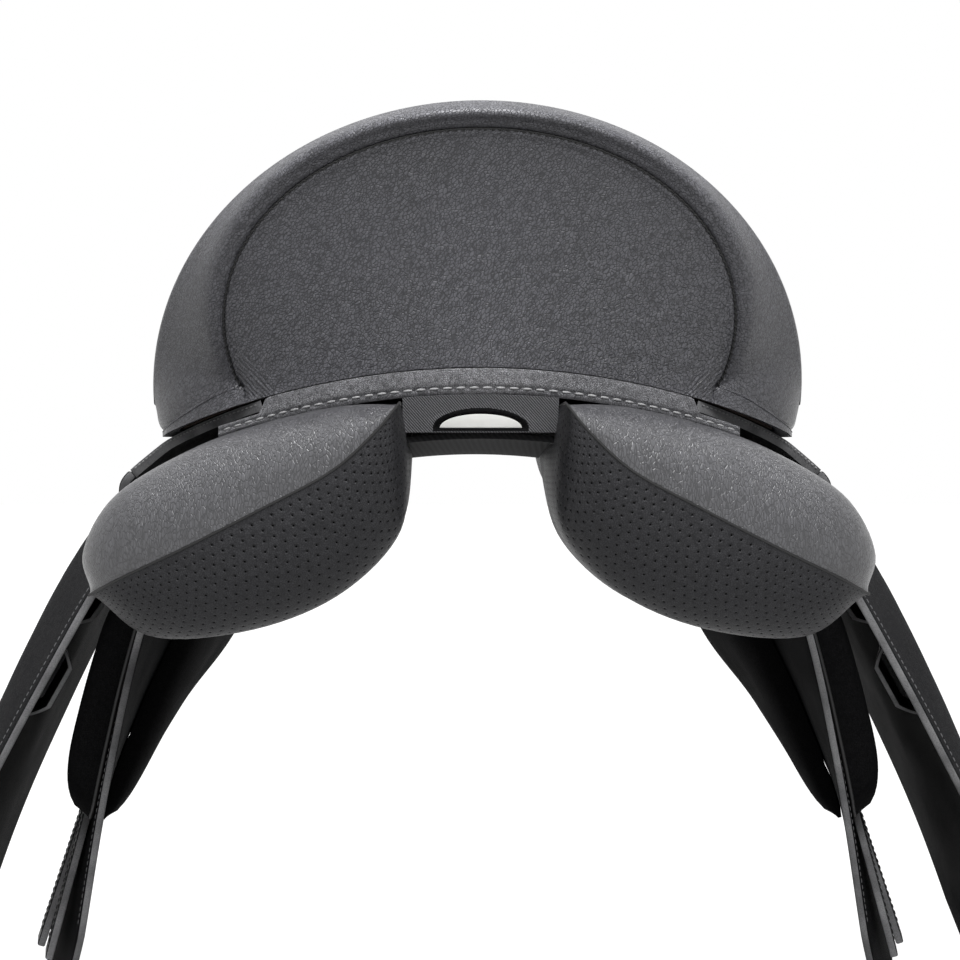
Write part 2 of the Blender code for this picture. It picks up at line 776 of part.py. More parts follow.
def gullet_lining():
    def face(drop):
        def surface(u, w):
            y = LINING_REAR_Y + (LINING_FRONT_Y - LINING_REAR_Y) * w
            crown = LINING_CROWN * (1 - (2 * u - 1) ** 2)
            return Vector((LINING_HALF * (2 * u - 1), y, between(LINING_HEIGHTS, y) + crown - drop))

        return surface

    return slab("gullet_lining", (4, 10), face(0), face(LINING_THICK), web())


def half_oval(bm, half, rise, front_y, back_y, foot_z):
    """A plate with a straight foot and a half-oval top, between two Y planes."""
    bmesh.ops.create_circle(bm, cap_ends=True, segments=20, radius=1.0)
    for vert in bm.verts:
        vert.co = Vector((vert.co.x * half, front_y, foot_z + max(vert.co.y, 0.0) * rise))
    bmesh.ops.remove_doubles(bm, verts=bm.verts[:], dist=1e-5)
    grown = bmesh.ops.extrude_face_region(bm, geom=bm.faces[:])["geom"]
    moved = [item for item in grown if isinstance(item, bmesh.types.BMVert)]
    bmesh.ops.translate(bm, vec=(0, back_y - front_y, 0), verts=moved)


def subtract(obj, cutter, name):
    cutter.hide_render = True
    cutter.display_type = "WIRE"
    cut = obj.modifiers.new(name, "BOOLEAN")
    cut.operation = "DIFFERENCE"
    cut.object = cutter


def gullet_facing():
    def face(y):
        def surface(u, w):
            x = FACING_HALF * (2 * u - 1)
            top = arch(x, FOOT_SIDE_Y) - BAND_HEIGHT - LOOSE
            return Vector((x, y, FACING_FOOT_Z + (top - FACING_FOOT_Z) * w))

        return surface

    back = FACING_Y + FACING_THICK
    obj = slab("gullet_facing", (8, 1), face(FACING_Y), face(back), lining_leather(), smooth=False)
    bm = bmesh.new()
    front = FACING_Y - BADGE_THICK
    back = FACING_Y + BADGE_THICK
    half_oval(bm, BADGE_HALF + GAP, BADGE_RISE + 2 * GAP, front, back, BADGE_FOOT_Z - GAP)
    subtract(obj, finish("recess_cutter", bm, lining_leather()), "badge recess")


def badge_plate():
    bm = bmesh.new()
    half_oval(bm, BADGE_HALF, BADGE_RISE, FACING_Y, FACING_Y + BADGE_THICK - GAP, BADGE_FOOT_Z)
    return finish("badge_plate", bm, plate_white(), smooth=False)


def gullet_plate():
    def face(drop):
        def surface(u, w):
            x = PLATE_HALF * (2 * u - 1)
            y = PLATE_REAR_Y + (PLATE_FRONT_Y - PLATE_REAR_Y) * w
            return Vector((x, y, flap_height(abs(x), y) - 1.25 * FLAP_THICK - LOOSE - drop))

        return surface

    return slab("gullet_plate", (14, 2), face(0), face(PLATE_THICK), steel())


def seat_webbing():
    def face(depth):
        def surface(u, w):
            a = 1.125 + 0.75 * w
            crest = TREE_CREST - TREE_DEPTH + depth
            centre, side = seat_point(a, 3, depth, crest), seat_point(a, WEB_EDGE, depth, crest)
            point = centre.lerp(side, 0.7 * abs(2 * u - 1))
            point.x *= 1 if u > 0.5 else -1
            return point

        return surface

    top = FOAM_DEPTH + LOOSE
    return slab("seat_webbing", (2, 6), face(top), face(top + WEB_THICK), web())


def box(bm, low, high, frame, bevel=0.0):
    """A box between two corners given in the frame's own axes, with its edges rounded."""
    verts = bmesh.ops.create_cube(bm, size=1.0)["verts"]
    low, high = Vector(low), Vector(high)
    for vert in verts:
        share = vert.co + Vector((0.5, 0.5, 0.5))
        vert.co = Vector(a + (b - a) * t for a, b, t in zip(low, high, share))
    if bevel:
        edges = {edge for vert in verts for edge in vert.link_edges}
        bmesh.ops.bevel(bm, geom=list(edges), offset=bevel, segments=1, profile=0.5, affect="EDGES")
        verts = [vert for vert in bm.verts if vert.is_valid]
    bmesh.ops.transform(bm, matrix=frame, verts=verts)


def frame_at(point, along, normal):
    """A frame at a point: X along, Z on the normal as nearly as it can, Y across."""
    along = along.normalized()
    across = normal.cross(along).normalized()
    turned = Matrix((along, across, along.cross(across))).transposed()
    return Matrix.Translation(point) @ turned.to_4x4()


def bar_frame():
    """The stirrup bar's frame: X forward along the foot of the seat, Y up the slope, Z off the flap."""
    x = foot_line(BAR_Y)[0] + BAR_OUT
    x_fore, x_aft = (foot_line(BAR_Y + step_y)[0] + BAR_OUT for step_y in (0.04, -0.04))
    fore = Vector((x_fore, BAR_Y + 0.04, flap_height(x_fore, BAR_Y + 0.04)))
    aft = Vector((x_aft, BAR_Y - 0.04, flap_height(x_aft, BAR_Y - 0.04)))
    middle = Vector((x, BAR_Y, flap_height(x, BAR_Y)))
    outer = Vector((x + 0.01, BAR_Y, flap_height(x + 0.01, BAR_Y)))
    normal = (fore - aft).cross(middle - outer)
    normal *= 1 if normal.z > 0 else -1
    return frame_at(middle, fore - aft, normal)


def united(obj, others):
    """Joins other objects to this one with Booleans, and hides them."""
    for other in others:
        other.hide_render = True
        other.display_type = "WIRE"
        join = obj.modifiers.new(other.name, "BOOLEAN")
        join.operation = "UNION"
        join.object = other
    return obj


def stirrup_bar(name, side):
    half, wide = BAR_LENGTH / 2, BAR_WIDTH / 2
    plate_top = BAR_SEAT + BAR_PLATE_THICK
    blade = plate_top + BAR_SLOT
    shapes = (
        ((-half * 0.85, -BAR_PLATE_WIDTH / 2, BAR_SEAT), (half, BAR_PLATE_WIDTH / 2, plate_top)),
        ((-half, -wide, blade), (half, wide, blade + BAR_THICK)),
        ((half - 0.012, -wide * 0.98, BAR_SEAT + 0.001), (half * 0.998, wide * 0.98, blade + 0.002)),
    )
    made = []
    for number, (low, high) in enumerate(shapes):
        bm = bmesh.new()
        box(bm, low, high, bar_frame(), 0.0008)
        label = name if not number else f"{name}_{('plate', 'blade', 'neck')[number]}"
        made.append(finish(label, bm, steel(), side=side, smooth=False))
    return united(made[0], made[1:])


def bar_catch(name, side):
    """The safety catch at the open rear end of the bar; its hinge lies in the end of the bar."""
    half, wide = BAR_LENGTH / 2, BAR_WIDTH / 2
    blade = BAR_SEAT + BAR_PLATE_THICK + BAR_SLOT
    bm = bmesh.new()
    low = (-half - CATCH_LENGTH, -wide, blade + BAR_THICK - CATCH_THICK)
    high = (-half - GAP, wide, blade + BAR_THICK)
    box(bm, low, high, bar_frame(), 0.0008)
    hinge = bar_frame() @ Vector((-half - GAP / 2, 0, blade + BAR_THICK))
    return finish(name, bm, steel(), side=side, origin=hinge, smooth=False)


def strap_face(middle_y):
    """Centre surface of a girth strap: it hangs down the slope of the sweat flap, and its end is flat."""

    def on_flap(u, w):
        reach = STRAP_REACH[0] + (STRAP_REACH[1] - STRAP_REACH[0]) * w
        fall = sweat_at(middle_y, reach).x - sweat_at(middle_y, STRAP_REACH[0]).x
        return sweat_at(middle_y - STRAP_DRIFT * fall + STRAP_WIDTH * (u - 0.5), reach)

    def surface(u, w):
        if w <= STRAP_FLAT:
            return on_flap(u, w)
        down = (on_flap(0.5, STRAP_FLAT) - on_flap(0.5, STRAP_FLAT - 0.02)) * 50
        return on_flap(u, STRAP_FLAT) + down * (w - STRAP_FLAT)

    return surface


def strap(name, side, middle_y):
    face = strap_face(middle_y)
    hinge = offset(face, STRAP_GAP + STRAP_THICK)(0.5, 0)
    return slab(
        name,
        (1, 15),
        offset(face, STRAP_GAP + STRAP_THICK),
        offset(face, STRAP_GAP),
        strap_leather(),
        side=side,
        origin=hinge,
    )


def buckle_guard(name, side):
    """A leather pad over both straps, as wide as they are together."""
    front, rear = strap_face(STRAP_FRONT_Y), strap_face(STRAP_REAR_Y)

    def face(u, w):
        w = GUARD_REACH[0] + (GUARD_REACH[1] - GUARD_REACH[0]) * w
        fore, aft = front(1, w), rear(0, w)
        spread = GUARD_EDGE / (fore - aft).length
        return aft.lerp(fore, -spread + (1 + 2 * spread) * u)

    lift = STRAP_GAP + STRAP_THICK + LOOSE
    outer, inner = offset(face, lift + GUARD_THICK), offset(face, lift)
    return slab(name, (4, 5), outer, inner, strap_leather(), side=side)


def dee_frame():
    """The frame of a dee ring's holder: X forward, Y up the slope, Z off the flap."""
    here = Vector((DEE_X, DEE_Y, flap_height(DEE_X, DEE_Y)))
    outer = Vector((DEE_X + 0.01, DEE_Y, flap_height(DEE_X + 0.01, DEE_Y)))
    normal = Vector((here.z - outer.z, 0, outer.x - here.x))
    return frame_at(here, Vector((0, 1, 0)), normal)


def rod(bm, radius, low, high, frame):
    """A round rod along the frame's X from low to high."""
    turned = Matrix.Rotation(math.pi / 2, 4, "Y")
    placed = frame @ Matrix.Translation(((low + high) / 2, 0, 0)) @ turned
    bmesh.ops.create_cone(
        bm, cap_ends=True, segments=12, radius1=radius, radius2=radius, depth=high - low, matrix=placed
    )


def dee_holder(name, side):
    height = LOOSE + HOLDER_HEIGHT / 2
    bm = bmesh.new()
    half, wide = HOLDER_LENGTH / 2, HOLDER_WIDTH / 2
    box(bm, (-half, -wide, LOOSE), (half, wide, LOOSE + HOLDER_HEIGHT), dee_frame(), 0.001)
    obj = finish(name, bm, strap_leather(), side=side, smooth=False)
    bm = bmesh.new()
    bore = dee_frame() @ Matrix.Translation((0, 0, height))
    rod(bm, DEE_WIRE + GAP, -HOLDER_LENGTH, HOLDER_LENGTH, bore)
    subtract(obj, finish(f"{name}_bore", bm, strap_leather(), side=side), "bore")
    return obj


def dee_ring(name, side):
    """A ring of round wire: its straight side lies in the holder, its bow hangs down the flap."""
    height = LOOSE + HOLDER_HEIGHT / 2
    frame = dee_frame() @ Matrix.Translation((0, 0, height))
    route = [Vector((DEE_HALF * k, 0, 0)) for k in (-1, -0.35, 0.35, 1)]
    route += [
        Vector((DEE_HALF * math.cos(turn), -DEE_DROP * math.sin(turn) * 0.8 - 0.004, 0))
        for turn in (math.radians(angle) for angle in range(10, 171, 20))
    ]
    curve = bpy.data.curves.new(name, "CURVE")
    curve.dimensions = "3D"
    curve.bevel_depth = DEE_WIRE
    curve.bevel_resolution = 1
    line = curve.splines.new("POLY")
    line.points.add(len(route) - 1)
    line.use_cyclic_u = True
    hinge = frame.translation
    for point, spot in zip(line.points, route):
        placed = frame @ spot - hinge
        point.co = (placed.x * side, placed.y, placed.z, 1)
    obj = bpy.data.objects.new(name, curve)
    obj.location = (hinge.x * side, hinge.y, hinge.z)
    obj.data.materials.append(steel())
    bpy.context.scene.collection.objects.link(obj)
    return obj


def flap_loop(name, side):
    """A leather loop that stands off the inner face of the flap, near its rear edge."""
    place = offset(flap_face, -FLAP_THICK - LOOSE)
    here = place(*LOOP_PLACE)
    down = place(LOOP_PLACE[0], LOOP_PLACE[1] + 0.03) - place(LOOP_PLACE[0], LOOP_PLACE[1] - 0.03)
    normal = here - offset(flap_face, 0)(*LOOP_PLACE)
    frame = frame_at(here, down, normal)

    def face(thick):
        def surface(u, w):
            bow = math.sin(math.pi * w)
            rise = LOOP_STAND * min(bow * 1.6, 1) ** 0.8
            return frame @ Vector((LOOP_LENGTH * (w - 0.5), LOOP_WIDTH * (u - 0.5), rise + thick))

        return surface

    return slab(
        name,
        (1, 12),
        face(LOOP_THICK + LOOSE),
        face(LOOSE),
        strap_leather(),
        side=side,
        origin=(FOLD_X, 0, FOLD_Z),
    )


def saddle_nail(name, side):
    """A domed nail head on the side of the seat, near its head."""
    spot = seat_point(1.86, 2.12)
    normal = offset(lambda u, w: seat_point(1.8 + 0.12 * u, 2.05 + 0.15 * w), 1.0)(0.5, 0.5)
    normal -= seat_point(1.86, 2.125)
    frame = frame_at(spot, Vector((0, 1, 0)), normal)
    bm = bmesh.new()
    lift = Matrix.Translation((0, 0, LOOSE + NAIL_HEIGHT / 2))
    bmesh.ops.create_cone(
        bm,
        cap_ends=True,
        segments=16,
        radius1=NAIL_RADIUS,
        radius2=NAIL_RADIUS * 0.55,
        depth=NAIL_HEIGHT,
        matrix=frame @ lift,
    )
    return finish(name, bm, steel(), side=side)


def pair(build, name, *more):
    for suffix, side in (("r", 1), ("l", -1)):
        build(f"{name}_{suffix}", side, *more)


clear_scene()
seat_cover()
seat_foam()
tree()
seat_webbing()
gullet_plate()
cantle_band()
gullet_facing()
badge_plate()
gullet_lining()
pair(panel, "panel")
pair(wing, "panel_wing")
pair(sweat_flap, "sweat_flap")
pair(flap_top, "flap_top")
pair(flap, "flap")
pair(flap_loop, "flap_loop")
pair(skirt, "skirt")
pair(block, "knee_block", KNEE_SPAN, KNEE_REACH, KNEE_HEIGHT)
pair(block, "thigh_block", THIGH_SPAN, THIGH_REACH, THIGH_HEIGHT)
pair(stirrup_bar, "stirrup_bar")
pair(bar_catch, "bar_catch")
pair(strap, "front_girth_strap", STRAP_FRONT_Y)
pair(strap, "rear_girth_strap", STRAP_REAR_Y)
pair(buckle_guard, "buckle_guard")
pair(dee_holder, "dee_holder")
pair(dee_ring, "dee_ring")
pair(saddle_nail, "saddle_nail")
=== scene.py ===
"""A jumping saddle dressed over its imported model: leather, stitching, padding and fittings.

Lengths are in metres, X to the rider's right, Y forward, Z up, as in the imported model.
A piece is built once for the right side, and mirrored for the left.
"""

import json
import math

import bmesh
import bpy
import numpy as np
from mathutils import Matrix, Vector, noise

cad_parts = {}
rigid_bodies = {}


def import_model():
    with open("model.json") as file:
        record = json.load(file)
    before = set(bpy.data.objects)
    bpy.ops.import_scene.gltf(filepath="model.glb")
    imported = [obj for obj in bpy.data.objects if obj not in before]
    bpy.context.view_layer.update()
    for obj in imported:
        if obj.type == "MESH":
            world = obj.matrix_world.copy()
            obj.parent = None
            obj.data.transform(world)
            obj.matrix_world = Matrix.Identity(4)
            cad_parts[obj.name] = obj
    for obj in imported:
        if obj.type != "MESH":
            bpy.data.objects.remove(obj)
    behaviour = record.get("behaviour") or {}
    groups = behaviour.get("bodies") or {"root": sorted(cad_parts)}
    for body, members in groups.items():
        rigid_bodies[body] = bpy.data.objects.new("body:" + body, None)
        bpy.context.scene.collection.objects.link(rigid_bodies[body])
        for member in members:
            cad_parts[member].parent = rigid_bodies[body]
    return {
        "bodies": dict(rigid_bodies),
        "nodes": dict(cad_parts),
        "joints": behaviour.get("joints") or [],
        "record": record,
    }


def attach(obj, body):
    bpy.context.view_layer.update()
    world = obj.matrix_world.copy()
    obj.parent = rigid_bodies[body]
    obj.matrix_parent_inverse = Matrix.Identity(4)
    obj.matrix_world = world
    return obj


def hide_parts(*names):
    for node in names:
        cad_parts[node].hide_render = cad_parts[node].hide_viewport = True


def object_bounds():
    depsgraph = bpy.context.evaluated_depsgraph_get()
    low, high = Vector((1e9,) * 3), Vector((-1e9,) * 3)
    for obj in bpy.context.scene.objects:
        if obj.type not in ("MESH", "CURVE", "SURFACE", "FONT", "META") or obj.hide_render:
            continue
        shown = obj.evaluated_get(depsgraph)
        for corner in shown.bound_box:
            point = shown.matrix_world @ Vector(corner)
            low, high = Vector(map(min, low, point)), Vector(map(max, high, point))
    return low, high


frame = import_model()
cad_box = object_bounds()
scene = bpy.context.scene

MM = 0.001
SIDES = (("r", 1, "right"), ("l", -1, "left"))

# Stitches: pitch, length and radius. Welts: radius.
STITCH_LIFT = 0.0001
PLAIN_STITCH = (0.0036, 0.0028, 0.0004)
CANTLE_STITCH = (0.0032, 0.0027, 0.00042)
CANTLE_STITCH_LEAN = 0.0022
DISH_STITCH = (0.0042, 0.003, 0.0004)
BAND_STITCH = (0.0056, 0.0042, 0.00055)
TAIL_STITCH = (0.0032, 0.0022, 0.0004)
ZIGZAG_STITCH = (0.0026, 0.0026, 0.00045)
ZIGZAG_LEAN = 0.003
SEAM_CORD = 0.0004
SEAT_WELT = 0.0012
PANEL_WELT_CORD = 0.0006
BLOCK_WELT = 0.0011

# Seat outline and its stitched cantle seam.
SEAT_HALF_WIDTH = 0.1465
SEAT_WIDEST_Z = 0.100
CANTLE_RISE = 0.124
CANTLE_Y = -0.226
CANTLE_SWEEP = 0.101
ROLL_BULGE = 0.008
ROLL_SHOULDER = 0.016
ROLL_LEAN = 0.58
SEAM_HALF_WIDTH = 0.109
SEAM_MIDDLE_Z = 0.134
SEAM_RISE = 0.0785
SEAM_Y = -0.228
SEAM_SWEEP = 0.0462
SEAM_CURL = 110.0
SEAM_END = 0.857
SEAM_BLEND = 2.5
BACK_HOLLOW = 0.004

# Foot of the seat.
FOOT_REAR_Y = -0.198
FOOT_SIDE_Y = -0.125
FOOT_SIDE_X = 0.1425
FOOT_SIDE_Z = 0.086
FOOT_SEAM_X = 0.102
WAIST_Y = 0.020
WAIST_X = 0.095
WAIST_Z = 0.100
HEAD_Y = 0.190
HEAD_X = 0.050
HEAD_Z = 0.140
HEAD_ROUND = 0.028
SIDE_BULGE = 0.004
SIDE_RISE = 0.014
SIDE_WELT = 0.002
SEAM_END_RISE = 0.010
PUCKER_PLACE = (0.094, 0.108)
PUCKER_REACH = 0.017
PUCKER_PITCH = 0.0016
PUCKER_HEIGHT = 0.00042
FOOT_INSET = 0.75
SEAT_REST = 0.0009
LOOSE = 0.0005

# The tree's arch and the seat's centre line.
ARCH_REAR_Z = 0.1145
ARCH_WAIST_Z = 0.117
ARCH_HEAD_Z = 0.150
SEAT_LOW_Y = -0.005
SEAT_LOW_Z = 0.142
SEAT_REAR_LIFT = 0.062
SEAT_HEAD_LIFT = 0.044
DISH_REAR_Y = -0.165
DISH_SIDE_Y = -0.100
DISH_HEAD_Y = 0.155
HEAD_CREST = 0.026
FOAM_DEPTH = 0.0095
TREE_DEPTH = 0.012
TREE_CREST = 0.022

# Flaps and their fold.
FLAP_THICK = 0.0045
FLAP_UNDER_SEAT = 0.030
TAIL_REACH = 0.0175
FOLD_X = 0.162
FOLD_Z = 0.071
FOLD_SLOPE = -0.82
FLAP_CURL = 0.026
FLAP_CURL_Y = 0.020
FLAP_CURL_SPAN = 0.080
FLAP_TOE = 0.008
FLAP_TOE_Y = 0.080
FLAP_FOOT_ROUND = 0.09
FLAP_TOP_REAR = (-0.1745, -0.146, -0.112, -0.084)
FLAP_TOP_FRONT = (0.170, 0.208, 0.222, 0.228)
FLAP_REAR = (-0.084, -0.070, -0.052, -0.036, -0.012, 0.030)
FLAP_FRONT = (0.228, 0.252, 0.264, 0.252, 0.216, 0.150)
FLAP_FACE = (
    (FOLD_X, FOLD_Z),
    (0.181, 0.0555),
    (0.200, 0.030),
    (0.220, -0.006),
    (0.246, -0.062),
    (0.272, -0.130),
    (0.298, -0.225),
)

# Sweat flaps, blocks and wings.
SWEAT_THICK = 0.004
SWEAT_FOOT_ROUND = 0.08
SWEAT_TOP_X = 0.120
SWEAT_REAR_Y = -0.045
SWEAT_FRONT_Y = 0.190
SWEAT_FACE_REAR = ((0.148, 0.040), (0.162, -0.004), (0.174, -0.048), (0.184, -0.108), (0.192, -0.200))
SWEAT_FACE_FRONT = ((0.126, 0.045), (0.145, -0.006), (0.178, -0.048), (0.216, -0.108), (0.252, -0.200))
SWEAT_REAR = (-0.030, -0.044, -0.050, -0.038, -0.020, 0.010)
SWEAT_FRONT = (0.175, 0.196, 0.210, 0.208, 0.180, 0.120)
BLOCK_GAP = 0.0009
BLOCK_EDGE = 0.002
KNEE_SPAN = (0.70, 0.92)
KNEE_REACH = (0.22, 0.74)
KNEE_HEIGHT = 0.030
THIGH_SPAN = (0.04, 0.19)
THIGH_REACH = (0.34, 0.80)
THIGH_HEIGHT = 0.018
WING_THICK = 0.014
WING_SPAN = (0.36, 0.95)
WING_REACH = (0.25, 0.80)

# Panels.
PANEL_DROP = 0.0125
PANEL_INNER_X = 0.033
PANEL_TOP = (
    (0.034, 0.098),
    (0.060, 0.0973),
    (0.095, 0.0897),
    (0.124, 0.0795),
    (0.157, 0.060),
    (0.172, 0.035),
    (0.168, 0.017),
)
PANEL_UNDER = (
    (0.034, 0.098),
    (0.031, 0.070),
    (0.034, 0.042),
    (0.060, 0.016),
    (0.098, 0.001),
    (0.142, -0.002),
    (0.168, 0.017),
)
PANEL_WELT = (
    (0.034, 0.098),
    (0.044, 0.086),
    (0.062, 0.070),
    (0.090, 0.055),
    (0.124, 0.038),
    (0.152, 0.025),
    (0.168, 0.017),
)
PANEL_REAR_Y = -0.240
PANEL_REAR_CURVE = 0.055
PANEL_ROUND = 0.030
PANEL_FRONT_Y = 0.205
PANEL_FRONT_ROUND = 0.020
PANEL_CAP = 0.32
PANEL_FRONT_CAP = 0.85
PANEL_WIDTHS = ((-0.24, 1.0), (-0.14, 1.0), (0.0, 0.60), (0.12, 0.49), (0.21, 0.43))
PANEL_DEPTHS = ((-0.24, 1.0), (-0.13, 1.0), (0.0, 0.62), (0.12, 0.46), (0.21, 0.38))
SWELL_PRESSURE = 4.0
SWELL_FRAMES = 20
SWELL_CAP = 0.0035
HOLE_PITCH = 5.0  # in millimetres, as is the next
ROW_PITCH = 8.4

# Skirts over the stirrup bars.
SKIRT_THICK = 0.003
SKIRT_REAR = (0.024, 0.034, 0.054, 0.086)
SKIRT_FRONT = (0.176, 0.186, 0.190, 0.184)
SKIRT_INNER_GAP = 0.005
SKIRT_EDGE_X = 0.153
SKIRT_LIFT = 0.027
SKIRT_EDGE_LIFT = 0.004
SKIRT_RISE = 3.3
SKIRT_ROUND = 0.12

# Cantle band, gullet facing, lining and badge.
BAND_HALF = 0.114
BAND_HEIGHT = 0.0115
BAND_THICK = 0.005
BAND_PROUD = 0.002
BAND_STEP_X = 0.096
BAND_STEP_RUN = 0.004
BAND_STEP_DROP = 0.006
BAND_CROWN = 0.0012
BAND_SEAM_UP = 0.0027
BAND_SEAM_DIP = 0.0009
FACING_HALF = 0.030
FACING_TUCK = 0.0033
FACING_Y = FOOT_REAR_Y - LOOSE
FACING_THICK = 0.0035
FACING_FOOT_Z = 0.0865
LINING_HALF = 0.0308
LINING_TUCK = 0.0022
LINING_CROWN = 0.002
LINING_THICK = 0.0022
LINING_RIBS = 0.0031
LINING_RIB_HEIGHT = 0.00015
LINING_HEM = 0.009
SEAT_WEB_THICK = 0.0014
LINING_REAR_Y = -0.192
LINING_FRONT_Y = 0.195
LINING_HEIGHTS = ((-0.192, 0.0848), (-0.05, 0.079), (0.06, 0.088), (0.195, 0.118))
BADGE_HALF = 0.0175
BADGE_FOOT_Z = 0.0885
BADGE_RISE = 0.006
BADGE_SINK = 0.0010
BADGE_RING = 0.003

# Girth straps, guards, dee rings and loops.
STRAP_WIDTH = 0.025
STRAP_THICK = 0.004
STRAP_GAP = 0.0011
STRAP_FRONT_Y = 0.094
STRAP_REAR_Y = 0.054
STRAP_REACH = (0.06, 0.99)
STRAP_FLAT = 0.80
STRAP_DRIFT = 0.10
GUARD_REACH = (0.36, 0.60)
GUARD_EDGE = 0.010
GUARD_THICK = 0.003
DEE_Y = 0.205
DEE_X = 0.080
DEE_HALF = 0.011
DEE_WIRE = 0.0018
DEE_DROP = 0.024
HOLDER_HEIGHT = 0.0065
LOOP_PLACE = (0.10, 0.42)
KEEPER_PLACE = (0.07, 0.60)
LOOP_LENGTH = 0.040
LOOP_WIDTH = 0.012
LOOP_THICK = 0.0025
LOOP_STAND = 0.009
STUD_RADIUS = 0.0032
STUD_HEIGHT = 0.0016

# Camera (its lens in millimetres), lamps (place, size and watts) and floor.
CAMERA_PLACE = (-0.020, -1.325, 0.066)
CAMERA_AIM = (-0.0008, -0.225, 0.0664)
CAMERA_LENS = 99.4
LAMPS = (
    ("overhead", (0.0, -0.52, 1.15), (0.35, 0.9), 17.0),
    ("by_camera", (0.2, -1.7, 0.9), (0.7, 0.5), 14.0),
)
LAMP_AIM = (0, -0.05, 0.08)
SKY_LIGHT = 0.22
FLOOR_HALF = 30
FLOOR_GAP = 0.002


def through(points, t):
    """A smooth curve through the points, at t from 0 to 1."""
    last = len(points) - 1
    place = min(max(t, 0.0), 1.0) * last
    i = min(int(place), last - 1)
    f = place - i
    here = points[i]
    after = points[i + 1]
    before = points[i - 1] if i else here * 2 - after
    beyond = points[i + 2] if i + 2 <= last else after * 2 - here
    cubic = (here - after) * 3 + beyond - before
    square = before * 2 - here * 5 + after * 4 - beyond
    return here + ((after - before) * f + square * (f * f) + cubic * (f * f * f)) * 0.5


def ease(a, b, slope_a, slope_b, span, t):
    """A cubic from a to b with the given slopes at its ends."""
    start = 2 * t**3 - 3 * t**2 + 1
    rise = t**3 - 2 * t**2 + t
    fall = t**3 - t**2
    return start * a + rise * span * slope_a + (1 - start) * b + fall * span * slope_b


def step(t):
    t = min(max(t, 0.0), 1.0)
    return t * t * (3 - 2 * t)


def bell(distance, width):
    return math.exp(-((distance / width) ** 2))


def between(stations, y):
    for (y0, v0), (y1, v1) in zip(stations, stations[1:]):
        if y <= y1:
            return v0 + (v1 - v0) * step((y - y0) / (y1 - y0))
    return stations[-1][1]


def foot_line(y):
    """Where the foot of the seat runs along the side: its X and Z at Y."""
    slope_x = (HEAD_X - WAIST_X) / (HEAD_Y - WAIST_Y)
    slope_z = (HEAD_Z - WAIST_Z) / (HEAD_Y - WAIST_Y)
    if y <= FOOT_SIDE_Y:
        return FOOT_SIDE_X, FOOT_SIDE_Z
    if y < WAIST_Y:
        span = WAIST_Y - FOOT_SIDE_Y
        t = (y - FOOT_SIDE_Y) / span
        x = ease(FOOT_SIDE_X, WAIST_X, 0, slope_x, span, t)
        return x, ease(FOOT_SIDE_Z, WAIST_Z, 0, slope_z, span, t)
    y = min(y, HEAD_Y)
    return WAIST_X + slope_x * (y - WAIST_Y), WAIST_Z + slope_z * (y - WAIST_Y)


def arch(x, y):
    """Height of the underside of the tree."""
    top = between(((FOOT_SIDE_Y, ARCH_REAR_Z), (WAIST_Y, ARCH_WAIST_Z), (HEAD_Y, ARCH_HEAD_Z)), y)
    edge_x, edge_z = foot_line(y)
    return top - (top - edge_z) * (x / edge_x) ** 2


def rear_line(x):
    """The foot of the cantle seen from above: Y at X."""
    across = min(abs(x) / FOOT_SIDE_X, 1.0)
    return FOOT_REAR_Y + (FOOT_SIDE_Y - FOOT_REAR_Y) * (1 - math.sqrt(1 - across**1.6))


def centre_line(y):
    """Height of the seat's surface on the centre line, and its slope."""
    if y < SEAT_LOW_Y:
        run = (SEAT_LOW_Y - y) / 0.19
        return SEAT_LOW_Z + SEAT_REAR_LIFT * run**2.2, -2.2 * SEAT_REAR_LIFT * run**1.2 / 0.19
    run = (y - SEAT_LOW_Y) / 0.2
    return SEAT_LOW_Z + SEAT_HEAD_LIFT * run**2, 2 * SEAT_HEAD_LIFT * run / 0.2


